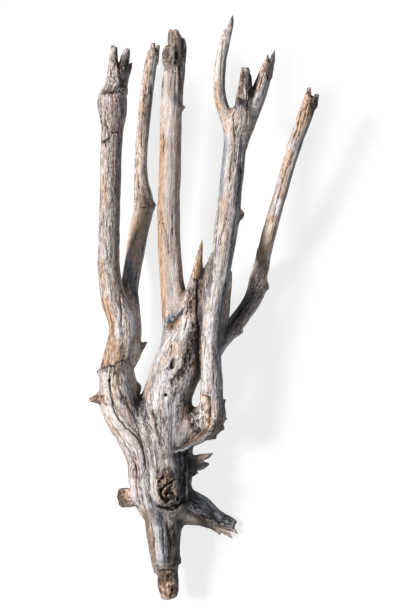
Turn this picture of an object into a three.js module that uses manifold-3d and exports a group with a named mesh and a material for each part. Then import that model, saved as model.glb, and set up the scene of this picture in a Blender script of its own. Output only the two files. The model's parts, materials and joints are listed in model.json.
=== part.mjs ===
// A piece of driftwood, grown and weathered as one solid: a thick trunk that tapers to a worn stump, one sideways root and
// one short sawn-off knob beside it, and five long bare limbs that rise from the trunk and end in broken tips.
// It lies on its back on a flat surface. Millimetres, +Z up. +Y runs along the limbs towards their tips, +X to the right
// seen from above. The origin is the middle of the footprint, on the surface that it rests on.
import * as THREE from 'three';
import { mergeVertices } from 'three/addons/utils/BufferGeometryUtils.js';
import Module from 'manifold-3d';

// ---- driving dimensions, mm
const SURFACE_Z = 0;            // the surface that the wood rests on
const RING_SPACING = 19;        // between the rings of a limb
const SIDES_THICK = 10;         // sides of a limb's section above THICK_RADIUS
const SIDES_THIN = 7;           // sides of a twig's section
const THICK_RADIUS = 10;
const WAVE = 0.035;             // how far the sections stray from an ellipse, as a share of the radius
const ORIGIN_SHIFT = [1.55, 5.8];  // brings the middle of the footprint to x = 0, y = 0

// Each limb is a row of stations from its root to its tip: [x, y, z, half width seen from above, half height].
// end: how it ends. round: worn; cut: broken or sawn across; taper: worn to a point.
const LIMBS = [
  { name: 'trunk', end: 'round', stations: [
    [-57.4, -393.2, 44, 18.3, 18.3], [-58.8, -378, 45, 21.8, 21.8], [-59.9, -356.7, 46, 24, 24],
    [-60.7, -335.3, 48, 27.3, 27.3], [-60.1, -312.5, 50, 29.7, 29.7], [-63.3, -286.6, 52, 43.1, 37],
    [-65, -259.5, 53, 47.7, 40.1], [-64.8, -235.3, 54, 48.6, 39.8], [-67.2, -214.2, 55, 51.3, 39],
    [-68.7, -196.1, 56, 52.8, 36.9]] },
  { name: 'strand_left', end: 'round', stations: [
    [-69.2, -325.5, 54, 13.7, 13.7], [-75.9, -292.2, 56, 18.2, 18.2], [-86.3, -259, 58, 22.7, 22.7],
    [-90.2, -228.8, 59, 21.2, 21.2], [-104, -195.8, 59, 26.3, 25], [-120.8, -162.8, 60, 28.7, 28.7],
    [-127.5, -138.7, 61, 29.4, 29.4], [-128.1, -120.7, 62, 28.1, 28.1], [-130.6, -99.6, 64, 25.6, 25.6],
    [-127.9, -81.6, 66, 23.8, 23.8], [-123.4, -63.6, 68, 23.4, 23.4], [-120.3, -45.6, 70, 22.3, 22.3],
    [-120.9, -27.6, 72, 21.4, 21.4], [-126.1, -9.7, 73, 20.5, 20.5], [-132.7, 5.2, 75, 19.6, 19.6],
    [-137.1, 23.1, 77, 18.1, 18.1], [-140.4, 43.9, 79, 17.4, 17.4], [-141.8, 64.7, 80, 16.8, 16.8],
    [-141.4, 88.5, 82, 16.7, 16.7], [-141.1, 112.2, 83, 16.2, 16.2], [-140, 147.7, 87, 15.6, 15.6],
    [-138.5, 183, 91, 15.6, 15.6], [-137.9, 218.3, 94, 15.7, 15.7], [-136.8, 241.8, 96, 16, 16],
    [-135.8, 259.4, 97, 16.4, 16.4], [-134.9, 277.1, 98, 19.1, 19.1], [-135.4, 290.4, 98, 21.5, 21.5],
    [-136.2, 300.7, 98, 22.3, 22.3], [-135.9, 310.2, 98, 19.7, 19.7], [-131.4, 319.9, 98, 15.5, 15.5],
    [-129.9, 330.3, 98, 14.8, 14.8], [-128.7, 340.6, 98, 13.5, 13.5], [-127.8, 348, 98, 10.5, 10.5]] },
  { name: 'fork_2', end: 'cut', stations: [
    [-120.8, -75.8, 60, 12.2, 12.2], [-115.5, -51.8, 60, 18.2, 18.2], [-113.6, -24.8, 58, 19.1, 19.1],
    [-114.3, -0.8, 54, 17.6, 17.6], [-112.9, 23.4, 48, 14, 14], [-109.8, 44.6, 42, 13.3, 13.3],
    [-106.7, 65.9, 36, 13.8, 13.8], [-102.5, 93.4, 28, 14, 14], [-98.6, 118.1, 20, 14.5, 14.5],
    [-94.2, 139.7, 15.2, 15, 15], [-92.7, 155, 14.2, 15.3, 15.3], [-93.9, 170.2, 15.4, 13.6, 13.6],
    [-96, 188.4, 16.4, 11.2, 11.2], [-96.6, 209.7, 17, 10.1, 10.1], [-95.6, 237.1, 18, 9.8, 9.8],
    [-92.2, 273.6, 19, 9.9, 9.9], [-89.8, 297.9, 19.5, 9.9, 9.9], [-87.6, 322.2, 20, 10.1, 10.1],
    [-84.5, 346.5, 20.5, 10.1, 10.1], [-80.9, 367.8, 21, 9.6, 9.6], [-78.7, 380, 21, 9, 9],
    [-77.5, 388.2, 21, 8.1, 8.1]] },
  { name: 'stem_mid', end: 'taper', stations: [
    [-57.7, -195.6, 62, 36.2, 32.5], [-55.6, -159.5, 64, 37.6, 33.9], [-51.9, -132.4, 66, 34, 32.3],
    [-43.4, -105.5, 67, 35.3, 33.6], [-36.6, -81.5, 68, 33.1, 31.4], [-30.6, -57.5, 69, 29.3, 27.9],
    [-25.4, -36.6, 70, 24.1, 22.9], [-21.7, -15.7, 71, 18.8, 17.9], [-19, 2.2, 72, 14.2, 12.8],
    [-17.2, 17.2, 72.5, 11.2, 10.1], [-15.1, 30.6, 73, 8.8, 8], [-13.3, 41, 73.5, 7.3, 6.6],
    [-10.9, 53, 74, 6.6, 5.9], [-8.5, 64.9, 74, 5.8, 5.3], [-6.3, 76.8, 74, 5, 4.5], [-4.2, 88.8, 74, 3.6, 3.2],
    [-2.2, 100.7, 74, 1.1, 1]] },
  { name: 'stem_left_edge', end: 'round', stations: [
    [-76.7, -153.9, 58, 18.2, 18.2], [-69.5, -123.8, 60, 16.1, 16.1], [-62.8, -93.7, 62, 13.7, 13.7],
    [-55, -69.7, 62, 11.9, 11.9], [-47.9, -48.8, 60, 10.7, 10.7]] },
  { name: 'limb_3', end: 'cut', stations: [
    [-39.9, -76, 52, 19.7, 17.8], [-43.6, -54.9, 52, 18.2, 16.4], [-43.6, -30.8, 53, 18.2, 18.2],
    [-42.8, -6.8, 55, 19.7, 19.7], [-44.3, 11.3, 57, 19.4, 19.4], [-47.3, 32.3, 59, 17.9, 17.9],
    [-49.6, 59.2, 62, 17, 17], [-51.3, 83.1, 65, 16.8, 16.8], [-52.5, 109.9, 67, 16.5, 16.5],
    [-53, 136.7, 70, 16.9, 16.9], [-52.1, 163.5, 72, 16.5, 16.5], [-51.1, 193.1, 75, 16.6, 16.6],
    [-50.2, 231.6, 78, 16.1, 16.1], [-49.3, 267.1, 80, 15.8, 15.8], [-48.3, 299.6, 82, 15.6, 15.6],
    [-47.4, 326.2, 84, 15.6, 15.6], [-45.9, 343.8, 85, 14.4, 14.4], [-44.4, 355.7, 85.5, 13.2, 13.2],
    [-43.2, 367.5, 86, 11.2, 11.2], [-42.9, 379.3, 86, 10.6, 10.6], [-42.6, 392.7, 86, 9.7, 9.7],
    [-43.2, 401.6, 86, 7.9, 7.9], [-44.7, 408.1, 86, 6.7, 6.7]] },
  { name: 'spike_2', end: 'taper', stations: [
    [-3.7, -69.6, 64, 24.1, 16.9], [0.7, -36.7, 66, 19.6, 13.7], [4.5, -6.7, 67, 15.9, 10.3],
    [6.1, 20.2, 68, 12.7, 7.6], [7, 42.6, 68.5, 9.1, 5.5], [9.1, 59, 69, 6.8, 4.1], [11.8, 71, 69, 4.1, 2.4],
    [12.7, 80, 69, 1.4, 0.8]] },
  { name: 'slab_3', end: 'cut', stations: [
    [3.8, -66.9, 56, 12.2, 8.5], [14.3, -48.8, 58, 12.2, 7.9], [23.2, -27.8, 60, 11.3, 6.8],
    [28.9, -6.7, 61, 9.8, 5.9], [31.3, 11.2, 62, 8, 4.8], [34.3, 29.2, 62, 6.8, 4.1], [37, 44.2, 62, 4.7, 2.8],
    [38.8, 52.3, 62, 2.9, 1.7]] },
  { name: 'limb_5', end: 'cut', stations: [
    [-44.3, -108.9, 56, 22.7, 20.4], [-23.3, -94.7, 54, 23, 20.7], [-4.5, -79.9, 48, 21.3, 20.2],
    [10.6, -65.1, 42, 18.3, 18.3], [23.8, -51.7, 35, 15.6, 15.6], [37.7, -37.5, 27.5, 13.6, 13.6],
    [51.9, -22.1, 20.5, 13.1, 13.1], [64.6, -5.3, 15.5, 12.9, 12.9], [74.7, 11.5, 12.9, 13.3, 13.3],
    [81.1, 27.6, 13.2, 13.9, 13.9], [83.3, 44.9, 21, 12.5, 12.5], [87.7, 62.9, 35, 11.7, 11.7],
    [91.7, 83.5, 51, 11.3, 11.3], [96.6, 104.1, 63, 11, 11], [105.2, 136.5, 74, 10.6, 10.6],
    [118.8, 186.6, 82, 10.6, 10.6], [133.1, 233.7, 87, 10.9, 10.9], [147.5, 275, 90, 10.9, 10.9],
    [155.1, 297, 92, 10.8, 10.8], [158.3, 306.6, 93, 10.5, 10.5], [160.3, 312.8, 93.4, 9.9, 9.9]] },
  { name: 'web', end: 'round', stations: [
    [-38.2, -186.8, 60, 25.7, 23.1], [-20.2, -177.5, 64, 22.6, 20.4], [-3.7, -169.6, 70, 19.6, 17.6],
    [11.2, -157.2, 77, 17.3, 15.6]] },
  { name: 'limb_4', end: 'round', stations: [
    [5.2, -190.2, 74, 9.9, 9.9], [11.2, -181.1, 76, 14.3, 14.3], [14.4, -167.5, 79, 17.4, 17.4],
    [12.6, -149.5, 81, 18.3, 18.3], [11.4, -131.4, 85, 17.1, 17.1], [11.7, -107.5, 90, 16.3, 16.3],
    [10.5, -80.6, 95, 15.9, 15.9], [10.3, -56.9, 99, 15.7, 15.7], [11.9, -33.2, 102, 15.4, 15.4],
    [14.9, -6.6, 105, 14.8, 14.8], [19, 19.9, 107, 14.2, 14.2], [23.7, 43.4, 108, 14.5, 14.5],
    [27.2, 67, 108, 15.2, 15.2], [29.9, 90.5, 107, 16.5, 16.5], [32.6, 114.2, 106, 17.6, 17.6],
    [35.2, 137.8, 105, 17.4, 17.4], [37.6, 161.4, 104, 17.1, 17.1], [40, 185.1, 103, 17, 17],
    [42.3, 208.8, 102, 17, 17], [44.4, 229.5, 101, 16.7, 16.7], [47.1, 250.3, 100, 17, 17],
    [50.3, 265, 100, 19.1, 19.1], [52.4, 276.8, 100, 19.1, 19.1]] },
  { name: 'twig_4a', end: 'taper', stations: [
    [45.8, 241.4, 100, 11.3, 11.3], [39.7, 262.2, 99, 11.1, 11.1], [32.7, 280, 98, 10.5, 10.5],
    [27.1, 294.9, 97, 9.9, 9.9], [23.8, 309.8, 96, 9.3, 9.3], [22.6, 324.7, 95, 8.9, 8.9],
    [23.1, 342.6, 94, 8.6, 8.6], [25.3, 363.6, 92, 8.3, 8.3], [28.9, 381.6, 91, 7.9, 7.9], [31.7, 393.6, 90, 7, 7],
    [35.4, 403.4, 89, 5.1, 5.1], [38.4, 413.2, 88, 4, 4], [40.7, 422.2, 87, 3.4, 3.4], [42.3, 431.3, 86, 1.5, 1.5]] },
  { name: 'stub_4b', end: 'cut', stations: [
    [56.8, 270.6, 103, 14.9, 14.9], [57, 290.9, 106, 12.8, 12.8], [57.9, 308.5, 107, 11.4, 11.4],
    [59.9, 324.6, 107.5, 10.2, 10.2], [60.8, 336.3, 108, 8.7, 8.7], [60.8, 349, 108, 6.7, 6.7]] },
  { name: 'twig_4c', end: 'cut', stations: [
    [53.3, 241.5, 99, 10.8, 10.8], [61.9, 266.7, 98.5, 12, 12], [71.7, 288.9, 97.5, 11.7, 11.7],
    [78.5, 306.8, 96.5, 11.7, 11.7], [84.5, 324.7, 95.5, 11.4, 11.4], [89.8, 339.6, 94.5, 10.2, 10.2],
    [93.4, 351.5, 94, 9.6, 9.6], [95.8, 359, 93.5, 8.5, 8.5]] },
  { name: 'prong_c1', end: 'taper', stations: [
    [88.8, 339.5, 95, 6.8, 6.8], [91.8, 352.7, 96, 5.2, 5.2], [93.8, 364.5, 96, 3.4, 3.4],
    [94.6, 371.9, 96, 1.5, 1.5]] },
  { name: 'prong_c2', end: 'taper', stations: [
    [94.8, 342.8, 93, 6.8, 6.8], [98.8, 356.2, 92, 5.5, 5.5], [102.1, 368.1, 92, 4, 4], [104.7, 378.4, 92, 1.5, 1.5]] },
  { name: 'hook', end: 'taper', stations: [
    [12.6, -177.4, 86, 12.1, 12.1], [4.4, -188.1, 92, 8.2, 8.2], [-5.2, -195.6, 96, 6.2, 6.2],
    [-18.5, -203.6, 100, 4.9, 4.9], [-30.2, -209.9, 102, 3.9, 3.9], [-41.3, -215.7, 103, 1.9, 1.9]] },
  { name: 'stump', end: 'cut', stations: [
    [-56.3, -384.1, 44, 18.3, 18.3], [-56, -393.3, 43.5, 14.7, 14.7], [-55.4, -400, 43, 12.6, 12.6],
    [-54.8, -407, 42.5, 15.3, 15.3], [-54.5, -416.2, 42, 15.7, 15.7], [-54.2, -425.3, 41.5, 15, 15],
    [-52.7, -433, 41, 13.8, 13.8], [-51.8, -439.1, 40.5, 12.3, 12.3]] },
  { name: 'root_right', end: 'cut', stations: [
    [-53.5, -298.9, 50, 30.3, 27.3], [-32.5, -302.1, 42, 28.3, 24.9], [-17.4, -305.3, 34, 24.7, 21.8],
    [-2.3, -311.3, 25, 20.3, 18.2], [11.4, -319.4, 18.4, 15.1, 14.4], [25.2, -325.6, 12.6, 11.8, 11.8],
    [37.5, -331, 8.6, 9.4, 9.4], [46.7, -334.6, 6.8, 7.7, 7.7]] },
  { name: 'root_slab', end: 'taper', stations: [
    [-38.6, -323.5, 34, 9.3, 7.4], [-25.1, -324.8, 29, 8.4, 5.9], [-11.4, -327.9, 23, 6.6, 3.9],
    [-0.8, -333.1, 18, 4.1, 2.5], [6.9, -338.9, 14, 1.4, 0.8]] },
  { name: 'root_s3', end: 'taper', stations: [
    [13, -329.5, 11, 6.3, 4.4], [25.2, -337.2, 10, 5.4, 3.2], [34.4, -346.5, 9, 4.8, 2.9], [44.2, -356.8, 8, 1.7, 1]] },
  { name: 'knob_left', end: 'cut', stations: [
    [-77.6, -280.8, 50, 22.8, 22.8], [-91.5, -285.7, 40, 18.3, 18.3], [-104, -290.1, 28, 14.8, 14.8],
    [-115.2, -292.4, 17, 15.1, 15.1], [-123.9, -292.8, 13.8, 15.5, 15.5], [-133, -293.1, 13.2, 14.2, 14.2]] },
  { name: 'burl', end: 'cut', stations: [
    [-60.8, -268, 58, 25.7, 28.3], [-56.6, -268.8, 78, 21.6, 26], [-54, -268.6, 94, 17.6, 23.6],
    [-52.8, -267.9, 109, 15.8, 23]] },
  { name: 'stub_l1', end: 'round', stations: [
    [-140.2, -135.8, 60, 15.2, 15.2], [-153.8, -138, 60, 9.5, 9.5], [-162.8, -139.5, 60, 6.5, 6.5],
    [-168.8, -140.2, 60, 4.4, 4.4]] },
  { name: 'spur_r', end: 'taper', stations: [
    [-113.1, -78.6, 64, 15.2, 12.1], [-104.1, -70.4, 63, 11.3, 7.9], [-97.3, -64.3, 62, 7.4, 5.2],
    [-91.6, -59.2, 62, 4.7, 3.3], [-85.6, -54, 62, 1.2, 0.9]] },
  { name: 'nub_2', end: 'taper', stations: [
    [-87.7, 151.8, 16, 10.9, 10.9], [-81.6, 152.7, 16, 7.2, 7.2], [-77.1, 153.7, 16, 3.8, 3.8],
    [-74.6, 154.3, 16, 1.7, 1.7]] },
  { name: 'nub_3', end: 'taper', stations: [
    [-40.9, 292.7, 84, 8.4, 8.4], [-34.9, 293.8, 84, 4.9, 4.9], [-29, 295.2, 84, 1.7, 1.7]] },
  { name: 'nub_4', end: 'taper', stations: [
    [44.9, 131.9, 105, 12, 12], [51.7, 133.4, 104, 7, 7], [57.9, 135.5, 104, 1.9, 1.9]] },
  { name: 'nub_5', end: 'taper', stations: [
    [84.7, 35.8, 17, 11.8, 11.8], [91.7, 30.4, 16.5, 6.6, 6.6], [96.6, 27.6, 16, 2.3, 2.3]] },
  { name: 'nub_5b', end: 'taper', stations: [
    [40.2, -36.5, 28, 11.6, 11.6], [50.2, -38.5, 25, 7.5, 7.5], [56.8, -39.1, 23, 2.6, 2.6]] },
  { name: 'stub_r1', end: 'taper', stations: [
    [-29.3, -234, 52, 12.2, 11], [-15.8, -231.4, 47, 6.2, 5.6], [-3.8, -228.7, 44, 4.7, 4.2],
    [6, -226.4, 42, 3.5, 3.2], [11.9, -223.2, 41, 1.2, 1.1]] },
  { name: 'stub_r2', end: 'taper', stations: [
    [-29.3, -241.3, 54, 12.2, 11], [-14.3, -240.9, 50, 8.3, 7.5], [-3.8, -240.5, 47, 5.9, 5.3],
    [6.2, -238.5, 45, 1.7, 1.5]] },
  { name: 'stub_r3', end: 'taper', stations: [
    [-26.4, -250.7, 50, 9.2, 8.3], [-16.7, -250.2, 46, 5.6, 5], [-9.8, -251.9, 44, 1.7, 1.5]] },
  { name: 'prong_1a', end: 'cut', stations: [
    [-133.7, 321.3, 99, 12, 12], [-134.2, 338.9, 100, 9.3, 9.3], [-133.6, 353.5, 100.5, 7.6, 7.6],
    [-133.3, 368.2, 101, 6.2, 6.2], [-133, 383.6, 101, 5, 5]] },
  { name: 'prong_1b', end: 'round', stations: [
    [-126.4, 321.6, 96, 12, 12], [-122.6, 339.5, 95, 9.6, 9.6], [-119.7, 352.9, 94.5, 8.2, 8.2],
    [-117.1, 364.8, 94, 7.4, 7.4], [-115.6, 372.2, 94, 6.5, 6.5], [-114.4, 376.7, 94, 5.5, 5.5]] },
  { name: 'slab_3b', end: 'cut', stations: [
    [-41.2, 302.6, 82, 9.1, 9.1], [-37.9, 326.3, 83, 7.9, 7.9], [-34.6, 349.9, 84, 6.4, 6.4],
    [-31.4, 369.2, 84, 5.2, 5.2], [-29, 384.1, 84, 4, 4], [-30.2, 398.1, 84, 2.9, 2.9]] },
  { name: 'mid_fill', end: 'round', stations: [
    [-26.2, -69.8, 60, 24.2, 21.8], [-11.2, -51.8, 60, 19.7, 17.7], [3.8, -33.8, 60, 18.2, 16.4]] },
  { name: 'tooth_5a', end: 'cut', stations: [
    [152.2, 292.2, 95, 5.5, 5.5], [153.6, 308.3, 96, 4.9, 4.9], [155.1, 321.6, 96.5, 3.1, 3.1]] },
];

const wasm = await Module();
wasm.setup();

// A closed body of merged vertices becomes a solid.
function solid(geometry) {
  const g = geometry.index ? geometry.toNonIndexed() : geometry;
  g.deleteAttribute('normal');
  g.deleteAttribute('uv');
  const m = mergeVertices(g, 1e-4);
  return new wasm.Manifold(new wasm.Mesh({
    numProp: 3,
    vertProperties: Float32Array.from(m.attributes.position.array),
    triVerts: Uint32Array.from(m.index.array),
  }));
}

// The rings of a limb: centres and radii along a smooth curve through the stations, with the end closed as it is worn.
function ringsOf(limb) {
  const st = limb.stations;
  const curve = new THREE.CatmullRomCurve3(st.map((s) => new THREE.Vector3(s[0], s[1], s[2])), false, 'centripetal');
  const size = new THREE.CatmullRomCurve3(st.map((s, i) => new THREE.Vector3(s[3], s[4], i)), false, 'centripetal');
  const rings = [];
  const last = st.length - 1;
  for (let i = 0; i < last; i++) {
    const gap = Math.hypot(st[i + 1][0] - st[i][0], st[i + 1][1] - st[i][1], st[i + 1][2] - st[i][2]);
    const steps = Math.max(1, Math.round(gap / RING_SPACING));
    for (let k = 0; k < steps + (i === last - 1 ? 1 : 0); k++) {
      const t = (i + k / steps) / last;
      const r = size.getPoint(Math.min(t, 1));
      rings.push({ p: curve.getPoint(Math.min(t, 1)), d: curve.getTangent(Math.min(Math.max(t, 1e-4), 1 - 1e-4)), a: Math.max(r.x, 0.5), b: Math.max(r.y, 0.5) });
    }
  }
  const dome = (ring, sign) => [0.55, 0.88].map((u) => ({
    p: ring.p.clone().addScaledVector(ring.d, sign * u * Math.min(ring.a, ring.b)),
    d: ring.d, a: ring.a * Math.sqrt(1 - u * u), b: ring.b * Math.sqrt(1 - u * u),
  }));
  const first = dome(rings[0], -1).reverse();
  const tail = limb.end === 'round' ? dome(rings[rings.length - 1], 1) : [];
  return [...first, ...rings, ...tail];
}

// A limb: a cylinder with closed ends, its rings carried onto the limb's own rings.
function limbGeometry(limb, index) {
  const rings = ringsOf(limb);
  const widest = Math.max(...limb.stations.map((s) => s[3]));
  const sides = widest > THICK_RADIUS ? SIDES_THICK : SIDES_THIN;
  const g = new THREE.CylinderGeometry(1, 1, 1, sides, rings.length - 1, false);
  const pos = g.attributes.position;
  const side = new THREE.Vector3(), up = new THREE.Vector3();
  const ends = new THREE.Vector3(0, 0, 1);
  const alongZ = limb.name === 'burl';
  for (let v = 0; v < pos.count; v++) {
    const x = pos.getX(v), y = pos.getY(v), z = pos.getZ(v);
    const j = Math.round((y + 0.5) * (rings.length - 1));
    const ring = rings[j];
    if (alongZ) side.set(1, 0, 0); else side.crossVectors(ring.d, ends).normalize();
    up.crossVectors(side, ring.d).normalize();
    const angle = Math.atan2(z, x);
    const wave = 1 + WAVE * (Math.sin(2 * angle + 1.7 * index + 0.31 * j) + 0.6 * Math.sin(3 * angle + 2.3 * index - 0.43 * j));
    const rough = limb.end === 'cut' && j === rings.length - 1 && Math.hypot(x, z) > 0.5
      ? 0.22 * ring.a * Math.sin(3 * angle + index) : 0;
    const p = ring.p.clone()
      .addScaledVector(side, x * ring.a * wave)
      .addScaledVector(up, z * ring.b * wave)
      .addScaledVector(ring.d, rough);
    pos.setXYZ(v, p.x + ORIGIN_SHIFT[0], p.y + ORIGIN_SHIFT[1], p.z);
  }
  return g;
}

let wood = null;
LIMBS.forEach((limb, index) => {
  const piece = solid(limbGeometry(limb, index));
  wood = wood ? wood.add(piece) : piece;
});

// The undersides that carry the wood are worn flat in one plane.
const below = new THREE.BoxGeometry(2000, 2000, 200);
below.translate(0, 0, SURFACE_Z - 100);
wood = wood.subtract(solid(below));

const mesh = wood.getMesh();
const position = new Float32Array((mesh.vertProperties.length / mesh.numProp) * 3);
for (let i = 0; i < position.length / 3; i++) {
  for (let c = 0; c < 3; c++) position[3 * i + c] = mesh.vertProperties[mesh.numProp * i + c];
}
const geometry = new THREE.BufferGeometry();
geometry.setAttribute('position', new THREE.BufferAttribute(position, 3));
geometry.setIndex(new THREE.BufferAttribute(Uint32Array.from(mesh.triVerts), 1));
geometry.computeVertexNormals();

const driftwood = new THREE.Mesh(geometry, new THREE.MeshStandardMaterial({ color: 0xa89a88, roughness: 0.85, metalness: 0 }));
driftwood.name = 'driftwood';

const part = new THREE.Group();
part.add(driftwood);

export default part;
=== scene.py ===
"""A piece of driftwood, lying on its back on a pale floor and seen from straight above.

The wood is modelled as one mesh. Its limbs are swept along centre lines, melted into each other and broken, cracked and
worn at their ends on a fine grid, and the surface is then cut with grain that follows each limb. All lengths in the tables
are millimetres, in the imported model's frame; the mesh is made in metres.
"""
import json
import math
import time

import bpy
import numpy as np
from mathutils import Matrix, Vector

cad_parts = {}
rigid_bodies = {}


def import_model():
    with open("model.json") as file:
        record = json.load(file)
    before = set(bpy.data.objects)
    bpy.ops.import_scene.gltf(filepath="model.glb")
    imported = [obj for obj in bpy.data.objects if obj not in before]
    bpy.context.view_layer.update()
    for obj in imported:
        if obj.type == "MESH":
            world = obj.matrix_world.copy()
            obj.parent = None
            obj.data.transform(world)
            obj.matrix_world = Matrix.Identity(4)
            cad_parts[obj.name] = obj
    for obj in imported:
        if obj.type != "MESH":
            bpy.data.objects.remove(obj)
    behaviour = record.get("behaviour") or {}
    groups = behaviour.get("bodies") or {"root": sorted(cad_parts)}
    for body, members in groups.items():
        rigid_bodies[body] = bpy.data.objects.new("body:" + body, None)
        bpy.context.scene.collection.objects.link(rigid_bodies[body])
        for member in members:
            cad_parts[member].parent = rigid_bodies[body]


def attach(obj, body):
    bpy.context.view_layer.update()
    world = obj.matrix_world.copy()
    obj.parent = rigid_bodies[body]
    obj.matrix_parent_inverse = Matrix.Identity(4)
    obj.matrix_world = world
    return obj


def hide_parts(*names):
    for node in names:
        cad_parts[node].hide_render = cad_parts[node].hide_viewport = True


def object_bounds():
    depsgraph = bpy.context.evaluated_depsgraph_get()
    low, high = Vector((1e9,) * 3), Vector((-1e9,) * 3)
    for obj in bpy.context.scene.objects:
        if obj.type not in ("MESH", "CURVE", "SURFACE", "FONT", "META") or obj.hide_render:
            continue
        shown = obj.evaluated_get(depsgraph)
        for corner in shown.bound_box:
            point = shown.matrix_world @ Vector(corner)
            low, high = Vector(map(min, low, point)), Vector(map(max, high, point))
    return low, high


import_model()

T0 = time.time()
CAD_LO, CAD_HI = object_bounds()
CAD_LO, CAD_HI = list(CAD_LO), list(CAD_HI)

# ---------------------------------------------------------------- view
UNIT = 1.5            # mm on the plane REF_Z for each step of the drawing grid that places the features
REF_Z = 60.0          # mm, the height of that plane
EYE = 2550.0          # mm from the eye to that plane
MID_U, MID_V = 204.0, 306.0
SHIFT_X, SHIFT_Y = 1.55, 5.8
GRID = 1.6   # mm, step of the volume grid


def place(u, v, z):
    """The point at height z, in mm, that is seen at grid place u, v."""
    k = UNIT * (EYE - (z - REF_Z)) / EYE
    return np.array([(u - MID_U) * k + SHIFT_X, (MID_V - v) * k + SHIFT_Y, z])


def seen_at(p):
    """The grid place at which points p, in mm, are seen."""
    k = UNIT * (EYE - (p[:, 2] - REF_Z)) / EYE
    return (p[:, 0] - SHIFT_X) / k + MID_U, MID_V - (p[:, 1] - SHIFT_Y) / k


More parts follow.
